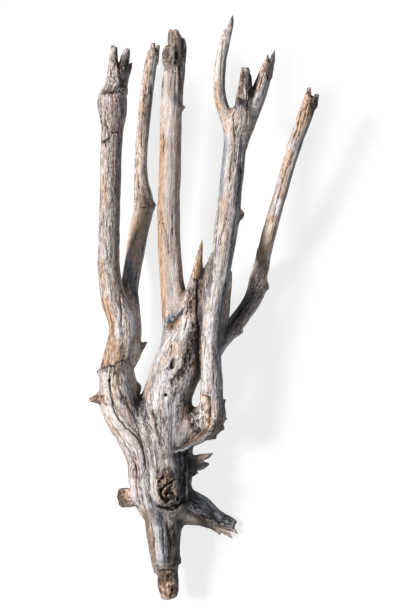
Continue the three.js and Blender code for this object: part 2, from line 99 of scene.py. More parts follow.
# ---------------------------------------------------------------- the limbs
# name: (parent, how it ends, melt in mm, roughness of the break in mm, grain runs back to the parent,
#        [(x, y, z, half width, half height), ...] from root to tip)
LIMBS = {
    "trunk": (None, "round", 14, 0, False, [(-55.8, -387.4, 44, 18.3, 18.3), (-57.3, -372.2, 45, 21.8, 21.8),
        (-58.3, -350.9, 46, 24, 24), (-59.2, -329.5, 48, 27.3, 27.3), (-58.5, -306.7, 50, 29.7, 29.7),
        (-61.8, -280.8, 52, 43.1, 37), (-63.4, -253.7, 53, 47.7, 40.1), (-63.3, -229.5, 54, 48.6, 39.8),
        (-65.6, -208.4, 55, 51.3, 39), (-67.1, -190.3, 56, 52.8, 36.9)]),
    "strand_left": ("trunk", "round", 12, 0, False, [(-67.6, -319.7, 54, 13.7, 13.7), (-74.3, -286.4, 56, 18.2, 18.2),
        (-84.8, -253.2, 58, 22.7, 22.7), (-88.6, -223, 59, 21.2, 21.2), (-102.4, -190, 59, 26.3, 25),
        (-119.2, -156.9, 60, 28.7, 28.7), (-125.9, -132.9, 61, 29.4, 29.4), (-126.6, -114.9, 62, 28.1, 28.1),
        (-129, -93.8, 64, 25.6, 25.6), (-126.4, -75.8, 66, 23.8, 23.8), (-121.8, -57.8, 68, 23.4, 23.4),
        (-118.7, -39.8, 70, 22.3, 22.3), (-119.4, -21.8, 72, 21.4, 21.4), (-124.6, -3.9, 73, 20.5, 20.5),
        (-131.2, 11, 75, 19.6, 19.6), (-135.5, 28.9, 77, 18.1, 18.1), (-138.8, 49.7, 79, 17.4, 17.4),
        (-140.3, 70.5, 80, 16.8, 16.8), (-139.9, 94.3, 82, 16.7, 16.7), (-139.5, 118, 83, 16.2, 16.2),
        (-138.4, 153.5, 87, 15.6, 15.6), (-137, 188.8, 91, 15.6, 15.6), (-136.4, 224.1, 94, 15.7, 15.7),
        (-135.2, 247.6, 96, 16, 16), (-134.3, 265.2, 97, 16.4, 16.4), (-133.4, 282.9, 98, 19.1, 19.1),
        (-133.8, 296.2, 98, 21.5, 21.5), (-134.7, 306.5, 98, 22.3, 22.3), (-134.4, 316, 98, 19.7, 19.7),
        (-129.8, 325.7, 98, 15.5, 15.5), (-128.3, 336.1, 98, 14.8, 14.8), (-127.2, 346.4, 98, 13.5, 13.5),
        (-126.3, 353.8, 98, 10.5, 10.5)]),
    "fork_2": ("strand_left", "cut", 12, 3, False, [(-119.2, -70, 60, 12.2, 12.2), (-114, -46, 60, 18.2, 18.2),
        (-112.1, -19, 58, 19.1, 19.1), (-112.7, 5, 54, 17.6, 17.6), (-111.3, 29.2, 48, 14, 14), (-108.3, 50.4, 42, 13.3, 13.3),
        (-105.2, 71.7, 36, 13.8, 13.8), (-101, 99.2, 28, 14, 14), (-97, 123.9, 20, 14.5, 14.5), (-92.6, 145.5, 15.2, 15, 15),
        (-91.1, 160.8, 14.2, 15.3, 15.3), (-92.3, 176, 15.4, 13.6, 13.6), (-94.4, 194.2, 16.4, 11.2, 11.2),
        (-95, 215.5, 17, 10.1, 10.1), (-94, 242.9, 18, 9.8, 9.8), (-90.7, 279.4, 19, 9.9, 9.9), (-88.2, 303.7, 19.5, 9.9, 9.9),
        (-86.1, 328, 20, 10.1, 10.1), (-83, 352.3, 20.5, 10.1, 10.1), (-79.3, 373.6, 21, 9.6, 9.6), (-77.2, 385.8, 21, 9, 9),
        (-76, 394, 21, 8.1, 8.1)]),
    "stem_mid": ("trunk", "taper", 14, 0, False, [(-56.2, -189.8, 62, 36.2, 32.5), (-54, -153.7, 64, 37.6, 33.9),
        (-50.4, -126.6, 66, 34, 32.3), (-41.8, -99.7, 67, 35.3, 33.6), (-35.1, -75.7, 68, 33.1, 31.4),
        (-29.1, -51.7, 69, 29.3, 27.9), (-23.8, -30.8, 70, 24.1, 22.9), (-20.1, -9.9, 71, 18.8, 17.9),
        (-17.4, 8, 72, 14.2, 12.8), (-15.6, 23, 72.5, 11.2, 10.1), (-13.5, 36.4, 73, 8.8, 8), (-11.7, 46.8, 73.5, 7.3, 6.6),
        (-9.3, 58.8, 74, 6.6, 5.9), (-7, 70.7, 74, 5.8, 5.3), (-4.7, 82.6, 74, 5, 4.5), (-2.6, 94.6, 74, 3.6, 3.2),
        (-0.7, 106.5, 74, 1.1, 1)]),
    "stem_left_edge": ("stem_mid", "round", 12, 0, False, [(-75.2, -148.1, 58, 18.2, 18.2), (-67.9, -118, 60, 16.1, 16.1),
        (-61.3, -87.9, 62, 13.7, 13.7), (-53.5, -63.9, 62, 11.9, 11.9), (-46.3, -43, 60, 10.7, 10.7)]),
    "limb_3": ("stem_mid", "cut", 8, 3, False, [(-38.3, -70.2, 52, 19.7, 17.8), (-42.1, -49.1, 52, 18.2, 16.4),
        (-42.1, -25, 53, 18.2, 18.2), (-41.3, -1, 55, 19.7, 19.7), (-42.8, 17.1, 57, 19.4, 19.4), (-45.7, 38.1, 59, 17.9, 17.9),
        (-48.1, 65, 62, 17, 17), (-49.8, 88.9, 65, 16.8, 16.8), (-51, 115.7, 67, 16.5, 16.5), (-51.5, 142.5, 70, 16.9, 16.9),
        (-50.6, 169.3, 72, 16.5, 16.5), (-49.6, 198.9, 75, 16.6, 16.6), (-48.6, 237.4, 78, 16.1, 16.1),
        (-47.7, 272.9, 80, 15.8, 15.8), (-46.8, 305.4, 82, 15.6, 15.6), (-45.8, 332, 84, 15.6, 15.6),
        (-44.3, 349.6, 85, 14.4, 14.4), (-42.9, 361.5, 85.5, 13.2, 13.2), (-41.7, 373.3, 86, 11.2, 11.2),
        (-41.4, 385.1, 86, 10.6, 10.6), (-41.1, 398.5, 86, 9.7, 9.7), (-41.7, 407.4, 86, 7.9, 7.9), (-43.1, 413.9, 86, 6.7, 6.7)]),
    "spike_2": ("stem_mid", "taper", 10, 0, False, [(-2.2, -63.8, 64, 24.1, 16.9), (2.3, -30.9, 66, 19.6, 13.7),
        (6, -0.9, 67, 15.9, 10.3), (7.7, 26, 68, 12.7, 7.6), (8.6, 48.4, 68.5, 9.1, 5.5), (10.7, 64.8, 69, 6.8, 4.1),
        (13.4, 76.8, 69, 4.1, 2.4), (14.3, 85.8, 69, 1.4, 0.8)]),
    "slab_3": ("stem_mid", "cut", 9, 2, False, [(5.3, -61.1, 56, 12.2, 8.5), (15.8, -43, 58, 12.2, 7.9),
        (24.8, -21.9, 60, 11.3, 6.8), (30.5, -0.9, 61, 9.8, 5.9), (32.9, 17, 62, 8, 4.8), (35.9, 35, 62, 6.8, 4.1),
        (38.6, 50, 62, 4.7, 2.8), (40.4, 58.1, 62, 2.9, 1.7)]),
    "limb_5": ("stem_mid", "cut", 12, 4, False, [(-42.8, -103.1, 56, 22.7, 20.4), (-21.8, -88.9, 54, 23, 20.7),
        (-3, -74.1, 48, 21.3, 20.2), (12.1, -59.3, 42, 18.3, 18.3), (25.3, -45.9, 35, 15.6, 15.6),
        (39.2, -31.7, 27.5, 13.6, 13.6), (53.5, -16.3, 20.5, 13.1, 13.1), (66.1, 0.5, 15.5, 12.9, 12.9),
        (76.3, 17.3, 12.9, 13.3, 13.3), (82.7, 33.4, 13.2, 13.9, 13.9), (84.9, 50.7, 21, 12.5, 12.5),
        (89.3, 68.7, 35, 11.7, 11.7), (93.2, 89.3, 51, 11.3, 11.3), (98.2, 109.9, 63, 11, 11), (106.7, 142.3, 74, 10.6, 10.6),
        (120.4, 192.4, 82, 10.6, 10.6), (134.7, 239.5, 87, 10.9, 10.9), (149, 280.8, 90, 10.9, 10.9),
        (156.6, 302.8, 92, 10.8, 10.8), (159.8, 312.4, 93, 10.5, 10.5), (161.9, 318.6, 93.4, 9.9, 9.9)]),
    "web": ("stem_mid", "round", 10, 0, False, [(-36.7, -180.9, 60, 25.7, 23.1), (-18.7, -171.7, 64, 22.6, 20.4),
        (-2.2, -163.8, 70, 19.6, 17.6), (12.7, -151.4, 77, 17.3, 15.6)]),
    "limb_4": ("web", "round", 9, 0, False, [(6.8, -184.4, 74, 9.9, 9.9), (12.7, -175.3, 76, 14.3, 14.3),
        (16, -161.7, 79, 17.4, 17.4), (14.2, -143.7, 81, 18.3, 18.3), (13, -125.6, 85, 17.1, 17.1),
        (13.3, -101.7, 90, 16.3, 16.3), (12.1, -74.8, 95, 15.9, 15.9), (11.9, -51.1, 99, 15.7, 15.7),
        (13.5, -27.4, 102, 15.4, 15.4), (16.4, -0.8, 105, 14.8, 14.8), (20.5, 25.7, 107, 14.2, 14.2),
        (25.2, 49.2, 108, 14.5, 14.5), (28.8, 72.8, 108, 15.2, 15.2), (31.4, 96.3, 107, 16.5, 16.5),
        (34.1, 120, 106, 17.6, 17.6), (36.8, 143.6, 105, 17.4, 17.4), (39.1, 167.2, 104, 17.1, 17.1), (41.5, 190.9, 103, 17, 17),
        (43.9, 214.6, 102, 17, 17), (46, 235.3, 101, 16.7, 16.7), (48.6, 256.1, 100, 17, 17), (51.9, 270.8, 100, 19.1, 19.1),
        (54, 282.6, 100, 19.1, 19.1)]),
    "twig_4a": ("limb_4", "taper", 7, 0, False, [(47.3, 247.2, 100, 11.3, 11.3), (41.3, 268, 99, 11.1, 11.1),
        (34.2, 285.8, 98, 10.5, 10.5), (28.6, 300.7, 97, 9.9, 9.9), (25.4, 315.6, 96, 9.3, 9.3), (24.2, 330.5, 95, 8.9, 8.9),
        (24.6, 348.4, 94, 8.6, 8.6), (26.9, 369.4, 92, 8.3, 8.3), (30.4, 387.4, 91, 7.9, 7.9), (33.3, 399.4, 90, 7, 7),
        (37, 409.2, 89, 5.1, 5.1), (40, 419, 88, 4, 4), (42.2, 428, 87, 3.4, 3.4), (43.9, 437.1, 86, 1.5, 1.5)]),
    "stub_4b": ("limb_4", "cut", 5, 4, False, [(58.3, 276.4, 103, 14.9, 14.9), (58.6, 296.7, 106, 12.8, 12.8),
        (59.4, 314.3, 107, 11.4, 11.4), (61.5, 330.4, 107.5, 10.2, 10.2), (62.3, 342.1, 108, 8.7, 8.7),
        (62.3, 354.8, 108, 6.7, 6.7)]),
    "twig_4c": ("limb_4", "cut", 7, 3, False, [(54.9, 247.3, 99, 10.8, 10.8), (63.5, 272.5, 98.5, 12, 12),
        (73.2, 294.7, 97.5, 11.7, 11.7), (80.1, 312.6, 96.5, 11.7, 11.7), (86, 330.5, 95.5, 11.4, 11.4),
        (91.4, 345.4, 94.5, 10.2, 10.2), (94.9, 357.3, 94, 9.6, 9.6), (97.3, 364.8, 93.5, 8.5, 8.5)]),
    "prong_c1": ("twig_4c", "taper", 2.5, 0, False, [(90.3, 345.3, 95, 6.8, 6.8), (93.4, 358.5, 96, 5.2, 5.2),
        (95.3, 370.3, 96, 3.4, 3.4), (96.2, 377.7, 96, 1.5, 1.5)]),
    "prong_c2": ("twig_4c", "taper", 2.5, 0, False, [(96.3, 348.6, 93, 6.8, 6.8), (100.3, 362, 92, 5.5, 5.5),
        (103.6, 373.9, 92, 4, 4), (106.3, 384.2, 92, 1.5, 1.5)]),
    "prong_c3": (None, "taper", 2, 0, False, [(97.6, 345.5, 94, 5.5, 5.5), (99.9, 360.1, 95, 4, 4),
        (101.2, 370.4, 95.5, 2.8, 2.8), (101.7, 378.3, 96, 1.4, 1.4)]),
    "tooth_4b": (None, "taper", 2, 0, False, [(66.2, 323.2, 106, 5.5, 5.5), (68.6, 336.5, 106, 4, 4), (70, 345.9, 106, 1.6, 1.6)]),
    "hook": ("limb_4", "taper", 8, 0, True, [(14.2, -171.6, 86, 12.1, 12.1), (6, -182.3, 92, 8.2, 8.2),
        (-3.6, -189.8, 96, 6.2, 6.2), (-16.9, -197.8, 100, 4.9, 4.9), (-28.7, -204.1, 102, 3.9, 3.9),
        (-39.7, -209.9, 103, 1.9, 1.9)]),
    "stump": ("trunk", "cut", 2.5, 1, True, [(-54.8, -378.3, 44, 18.3, 18.3), (-54.5, -387.5, 43.5, 14.7, 14.7),
        (-53.9, -394.2, 43, 12.6, 12.6), (-53.3, -401.2, 42.5, 15.3, 15.3), (-53, -410.4, 42, 15.7, 15.7),
        (-52.7, -419.5, 41.5, 15, 15), (-51.5, -426.2, 41, 13.5, 13.5), (-50.9, -431.1, 40.8, 10.8, 10.8),
        (-50.6, -434.8, 40.5, 7.1, 7.1)]),
    "root_right": ("trunk", "cut", 10, 3, True, [(-51.9, -293.1, 50, 30.3, 27.3), (-30.9, -296.3, 42, 28.3, 24.9),
        (-15.9, -299.5, 34, 24.7, 21.8), (-0.7, -305.5, 25, 20.3, 18.2), (13, -313.6, 18.4, 15.1, 14.4),
        (26.8, -319.8, 12.6, 11.8, 11.8), (39, -325.2, 8.6, 9.4, 9.4), (48.3, -328.8, 6.8, 7.7, 7.7)]),
    "root_slab": ("root_right", "taper", 5, 0, True, [(-37.1, -317.7, 34, 9.3, 7.4), (-23.5, -319, 29, 8.4, 5.9),
        (-9.9, -322.1, 23, 6.6, 3.9), (0.8, -327.3, 18, 4.1, 2.5), (8.4, -333.1, 14, 1.4, 0.8)]),
    "root_s1": ("root_right", "taper", 2.5, 0, True, [(-9.9, -318.2, 18, 7.8, 5.5), (2.3, -324.2, 14, 5.7, 3.4),
        (11.5, -331.3, 11, 3.5, 2.1), (18.8, -338.6, 9, 1.3, 0.8)]),
    "root_s2": ("root_right", "taper", 2.5, 0, True, [(3.8, -320.4, 13, 6.3, 4.4), (14.5, -328.2, 11, 4.8, 2.9),
        (21.6, -336.1, 9.5, 3.2, 1.9), (25.9, -343.9, 8.5, 1.3, 0.8)]),
    "root_s3": ("root_right", "taper", 2.5, 0, True, [(14.5, -323.7, 11, 6.3, 4.4), (26.8, -331.4, 10, 5.4, 3.2),
        (36, -340.7, 9, 4.8, 2.9), (45.8, -351, 8, 1.7, 1)]),
    "root_s4": ("root_right", "taper", 2.5, 0, True, [(26.8, -325.3, 10, 5.7, 4), (39, -331.5, 9.5, 4.8, 2.9),
        (47.3, -337.1, 9, 3.9, 2.3), (53.4, -343.8, 9, 1.6, 0.9)]),
    "knob_left": ("trunk", "cut", 9, 2, True, [(-76, -275, 50, 22.8, 22.8), (-89.9, -279.9, 40, 18.3, 18.3),
        (-102.5, -284.3, 28, 14.8, 14.8), (-113.6, -286.6, 17, 15.1, 15.1), (-122.3, -287, 13.8, 15.5, 15.5),
        (-131.5, -287.3, 13.2, 14.2, 14.2)]),
    "burl": ("trunk", "cut", 10, 1.4, False, [(-59.2, -262.2, 58, 25.7, 28.3), (-55, -263, 78, 21.6, 26),
        (-52.5, -262.8, 94, 17.6, 23.6), (-51.3, -262.1, 109, 15.8, 23)]),
    "burl_rim": ("trunk", "taper", 7, 0, False, [(-69.1, -227.1, 80, 7.6, 6.1), (-74.3, -241.4, 86, 7.9, 7.1),
        (-76, -256, 88, 8.2, 7.4), (-74, -271.1, 86, 7.9, 7.1), (-67.1, -284.3, 80, 6.4, 5.8), (-57.4, -291.9, 73, 4.1, 3.2)]),
    "stub_l1": ("strand_left", "round", 7, 0, False, [(-138.7, -129.9, 60, 15.2, 15.2), (-152.2, -132.2, 60, 9.5, 9.5),
        (-161.2, -133.7, 60, 6.5, 6.5), (-167.2, -134.4, 60, 4.4, 4.4)]),
    "stub_l0": ("strand_left", "taper", 4, 0, False, [(-144.4, -96.7, 66, 9.2, 9.2), (-151.8, -94.3, 66, 5.3, 5.3),
        (-156.3, -92.8, 66, 2.9, 2.9), (-158.4, -92.2, 66, 1.4, 1.4)]),
    "spur_r": ("strand_left", "taper", 5, 0, False, [(-111.5, -72.8, 64, 15.2, 12.1), (-102.6, -64.6, 63, 11.3, 7.9),
        (-95.7, -58.5, 62, 7.4, 5.2), (-90, -53.4, 62, 4.7, 3.3), (-84, -48.2, 62, 1.2, 0.9)]),
    "nub_2": ("fork_2", "taper", 5, 0, False, [(-86.2, 157.6, 16, 10.9, 10.9), (-80.1, 158.5, 16, 7.2, 7.2),
        (-75.5, 159.5, 16, 3.8, 3.8), (-73.1, 160.1, 16, 1.7, 1.7)]),
    "nub_3": ("limb_3", "taper", 4, 0, False, [(-39.3, 298.5, 84, 8.4, 8.4), (-33.4, 299.6, 84, 4.9, 4.9),
        (-27.4, 301, 84, 1.7, 1.7)]),
    "nub_4": ("limb_4", "taper", 5, 0, False, [(46.5, 137.7, 105, 12, 12), (53.3, 139.2, 104, 7, 7),
        (59.5, 141.3, 104, 1.9, 1.9)]),
    "nub_5": ("limb_5", "taper", 5, 0, False, [(86.2, 41.6, 17, 11.8, 11.8), (93.2, 36.2, 16.5, 6.6, 6.6),
        (98.1, 33.4, 16, 2.3, 2.3)]),
    "nub_5b": ("limb_5", "taper", 4, 0, False, [(41.8, -30.7, 28, 11.6, 11.6), (51.7, -32.7, 25, 7.5, 7.5),
        (58.3, -33.3, 23, 2.6, 2.6)]),
    "nub_crotch": ("strand_left", "taper", 5, 0, False, [(-110.3, -118.1, 57, 15.2, 15.2), (-102, -117.8, 56, 8.3, 8.3),
        (-96, -116.7, 55, 2.6, 2.6)]),
    "stub_r1": ("trunk", "taper", 4, 0, False, [(-27.8, -228.2, 52, 12.2, 11), (-14.3, -225.6, 47, 6.2, 5.6),
        (-2.2, -222.9, 44, 4.7, 4.2), (7.6, -220.6, 42, 3.5, 3.2), (13.5, -217.4, 41, 1.2, 1.1)]),
    "stub_r2": ("trunk", "taper", 4, 0, False, [(-27.8, -235.5, 54, 12.2, 11), (-12.8, -235.1, 50, 8.3, 7.5),
        (-2.2, -234.7, 47, 5.9, 5.3), (7.7, -232.7, 45, 1.7, 1.5)]),
    "stub_r3": ("trunk", "taper", 4, 0, False, [(-24.8, -244.9, 50, 9.2, 8.3), (-15.2, -244.4, 46, 5.6, 5),
        (-8.3, -246.1, 44, 1.7, 1.5)]),
    "prong_1a": ("strand_left", "cut", 4, 3, False, [(-132.1, 327.1, 99, 12, 12), (-132.7, 344.7, 100, 9.3, 9.3),
        (-132, 359.3, 100.5, 7.6, 7.6), (-131.7, 374, 101, 6.2, 6.2), (-131.4, 389.4, 101, 5, 5)]),
    "prong_1b": ("strand_left", "round", 3, 0, False, [(-124.9, 327.4, 96, 12, 12), (-121.1, 345.3, 95, 9.6, 9.6),
        (-118.2, 358.7, 94.5, 8.2, 8.2), (-115.5, 370.6, 94, 7.4, 7.4), (-114, 378, 94, 6.5, 6.5), (-112.9, 382.5, 94, 5.5, 5.5)]),
    "chip_1c": ("strand_left", "taper", 3, 0, False, [(-119.2, 333.9, 92, 7.6, 7.6), (-112.4, 350.3, 91, 4.9, 4.9),
        (-108, 360.7, 91, 3.4, 3.4), (-105, 366.6, 91, 1.4, 1.4)]),
    "lump_1d": ("strand_left", "cut", 2, 1, False, [(-129.8, 323.5, 104, 9.9, 9.9), (-129.2, 333.1, 109, 9.9, 9.9),
        (-128.9, 341.2, 110.5, 8.7, 8.7)]),
    "knot_3": ("limb_3", "round", 3, 0, False, [(-47.6, 376.2, 86, 11.2, 11.2), (-51.1, 381.4, 91, 9.4, 9.4),
        (-51.6, 384.1, 93, 7.3, 7.3)]),
    "knot_3b": (None, "round", 3, 0, False, [(-48.2, 367.3, 86, 10.6, 10.6), (-51.9, 368.8, 91, 9.4, 9.4),
        (-53.1, 369.9, 93, 7.3, 7.3)]),
    "ridge_3": (None, "taper", 2, 0, False, [(-47.2, 391.8, 91, 4, 4), (-43.6, 382.3, 95, 4.3, 4.3), (-44.1, 373.3, 96, 4, 4),
        (-47.4, 364.7, 94, 3.4, 3.4)]),
    "nub_4d": (None, "taper", 3, 0, False, [(23.1, -142.4, 78, 9.1, 9.1), (29.7, -138, 77, 4.6, 4.6),
        (34.2, -132.7, 76, 1.4, 1.4)]),
    "nub_4e": (None, "taper", 3, 0, False, [(21.7, -158.9, 76, 9.1, 9.1), (29.4, -160.5, 75, 5, 5), (34.8, -162.6, 74, 1.7, 1.7)]),
    "nub_4f": (None, "round", 3, 0, False, [(17.2, -170.9, 75, 9.1, 9.1), (25.3, -176.9, 74, 5.5, 5.5),
        (30.6, -177.5, 74, 2.3, 2.3)]),
    "nub_4g": (None, "round", 3, 0, False, [(8.3, -179.9, 75, 7.6, 7.6), (15.1, -188, 74, 5.3, 5.3), (18.1, -191, 74, 2.3, 2.3)]),
    "tooth_leg": (None, "taper", 3, 0, False, [(-46, -369, 46, 10.7, 10.7), (-39.4, -376.8, 44, 5.9, 5.9),
        (-33.3, -382.4, 43, 1.5, 1.5)]),
    "tooth_leg2": (None, "taper", 3, 0, False, [(-64.1, -378.3, 44, 12.3, 12.3), (-71.1, -387.6, 43, 6.2, 6.2),
        (-72.6, -396.8, 42, 2, 2)]),
    "slab_3b": ("limb_3", "cut", 2, 1.5, False, [(-39.6, 308.4, 82, 9.1, 9.1), (-36.4, 332.1, 83, 7.9, 7.9),
        (-33.1, 355.7, 84, 6.4, 6.4), (-29.8, 375, 84, 5.2, 5.2), (-27.4, 389.9, 84, 4, 4), (-28.6, 403.9, 84, 2.9, 2.9)]),
    "tooth_3a": (None, "cut", 1.5, 1.5, False, [(-47.3, 397, 86, 4.9, 4.9), (-47.9, 407.4, 86, 4, 4),
        (-47.9, 415.4, 86, 2.6, 2.6)]),
    "tooth_3b": (None, "cut", 1.5, 1.5, False, [(-41.3, 396.9, 87, 4.9, 4.9), (-41.3, 407.3, 87, 4, 4),
        (-41.3, 415, 87, 2.8, 2.8)]),
    "tooth_3c": (None, "cut", 1.5, 1.5, False, [(-36, 391.2, 85, 4.6, 4.6), (-35.7, 401.6, 85, 3.7, 3.7),
        (-35.4, 408.5, 85, 2.6, 2.6)]),
    "tip_2b": ("fork_2", "cut", 1.5, 1.2, False, [(-73, 376.8, 20, 5.7, 5.7), (-69.4, 393.5, 20, 3.7, 3.7),
        (-67.6, 403.3, 20, 2.6, 2.6)]),
    "tooth_2a": ("fork_2", "cut", 1.5, 1.5, False, [(-77.7, 382.4, 23, 5.7, 5.7), (-76.5, 394.6, 23.4, 4.6, 4.6),
        (-75.6, 406.1, 23.4, 3.2, 3.2)]),
    "prong_a1": ("twig_4a", "cut", 2.5, 1, False, [(29.9, 384.4, 91, 5.5, 5.5), (30.1, 396.1, 92, 4.6, 4.6),
        (30.4, 406.5, 92, 3.4, 3.4), (31.3, 414.5, 92, 2.1, 2.1)]),
    "mid_fill": ("stem_mid", "round", 12, 0, False, [(-24.7, -64, 60, 24.2, 21.8), (-9.7, -46, 60, 19.7, 17.7),
        (5.3, -27.9, 60, 18.2, 16.4)]),
    "tooth_5a": ("limb_5", "cut", 1.5, 2, False, [(153.8, 298, 95, 5.5, 5.5), (155.2, 314.1, 96, 4.9, 4.9),
        (156.6, 327.4, 96.5, 3.1, 3.1)]),
    "tooth_5b": ("limb_5", "taper", 1.5, 0, False, [(165.4, 301.1, 94, 4.3, 4.3), (167.8, 310.5, 94, 3.4, 3.4),
        (169.8, 318.2, 94, 2.1, 2.1)]),
}

# ---------------------------------------------------------------- noise
class Noise:
    """Smooth value noise on a repeating table, from -1 to 1."""

    def __init__(self, seed):
        self.t = np.random.default_rng(seed).random((32, 32, 32), dtype=np.float32) * 2 - 1

    def __call__(self, x, y, z):
        xi, yi, zi = np.floor(x), np.floor(y), np.floor(z)
        fx, fy, fz = (x - xi).astype(np.float32), (y - yi).astype(np.float32), (z - zi).astype(np.float32)
        xi, yi, zi = xi.astype(np.int32) & 31, yi.astype(np.int32) & 31, zi.astype(np.int32) & 31
        fx, fy, fz = fx * fx * (3 - 2 * fx), fy * fy * (3 - 2 * fy), fz * fz * (3 - 2 * fz)
        xj, yj, zj = (xi + 1) & 31, (yi + 1) & 31, (zi + 1) & 31
        t = self.t
        a = t[xi, yi, zi] * (1 - fx) + t[xj, yi, zi] * fx
        b = t[xi, yj, zi] * (1 - fx) + t[xj, yj, zi] * fx
        c = t[xi, yi, zj] * (1 - fx) + t[xj, yi, zj] * fx
        d = t[xi, yj, zj] * (1 - fx) + t[xj, yj, zj] * fx
        return (a * (1 - fy) + b * fy) * (1 - fz) + (c * (1 - fy) + d * fy) * fz

    def fbm(self, x, y, z, octaves=3, gain=0.5):
        out, amp, total = 0.0, 1.0, 0.0
        for o in range(octaves):
            s = 2.03 ** o
            out = out + amp * self(x * s + 7.3 * o, y * s + 3.1 * o, z * s + 5.7 * o)
            total += amp
            amp *= gain
        return out / total


N1, N2, N3, N4 = Noise(11), Noise(23), Noise(37), Noise(53)


def smoothstep(a, b, x):
    t = np.clip((x - a) / (b - a), 0, 1)
    return t * t * (3 - 2 * t)


def blend_min(a, b, k):
    h = np.maximum(k - np.abs(a - b), 0) / k
    return np.minimum(a, b) - h * h * k * 0.25


def blend_max(a, b, k):
    return -blend_min(-a, -b, k)


# ---------------------------------------------------------------- centre lines
def spline(points, step):
    """Centripetal Catmull-Rom through the stations, resampled about every step mm."""
    p = np.array(points, float)
    q = np.vstack([2 * p[0] - p[1], p, 2 * p[-1] - p[-2]])
    out = []
    for i in range(len(p) - 1):
        p0, p1, p2, p3 = q[i:i + 4]
        d = [max(np.linalg.norm(b[:3] - a[:3]) ** 0.5, 1e-3) for a, b in ((p0, p1), (p1, p2), (p2, p3))]
        m1 = (p1 - p0) / d[0] - (p2 - p0) / (d[0] + d[1]) + (p2 - p1) / d[1]
        m2 = (p2 - p1) / d[1] - (p3 - p1) / (d[1] + d[2]) + (p3 - p2) / d[2]
        m1, m2 = m1 * d[1], m2 * d[1]
        n = max(1, int(round(np.linalg.norm(p2[:3] - p1[:3]) / step)))
        t = (np.arange(n) / n)[:, None]
        h = 2 * t ** 3 - 3 * t ** 2 + 1, t ** 3 - 2 * t ** 2 + t, -2 * t ** 3 + 3 * t ** 2, t ** 3 - t ** 2
        out.append(h[0] * p1 + h[1] * m1 + h[2] * p2 + h[3] * m2)
    out = np.vstack(out + [p[-1:]])
    out[:, 3:] = np.maximum(out[:, 3:], 0.35)
    return out


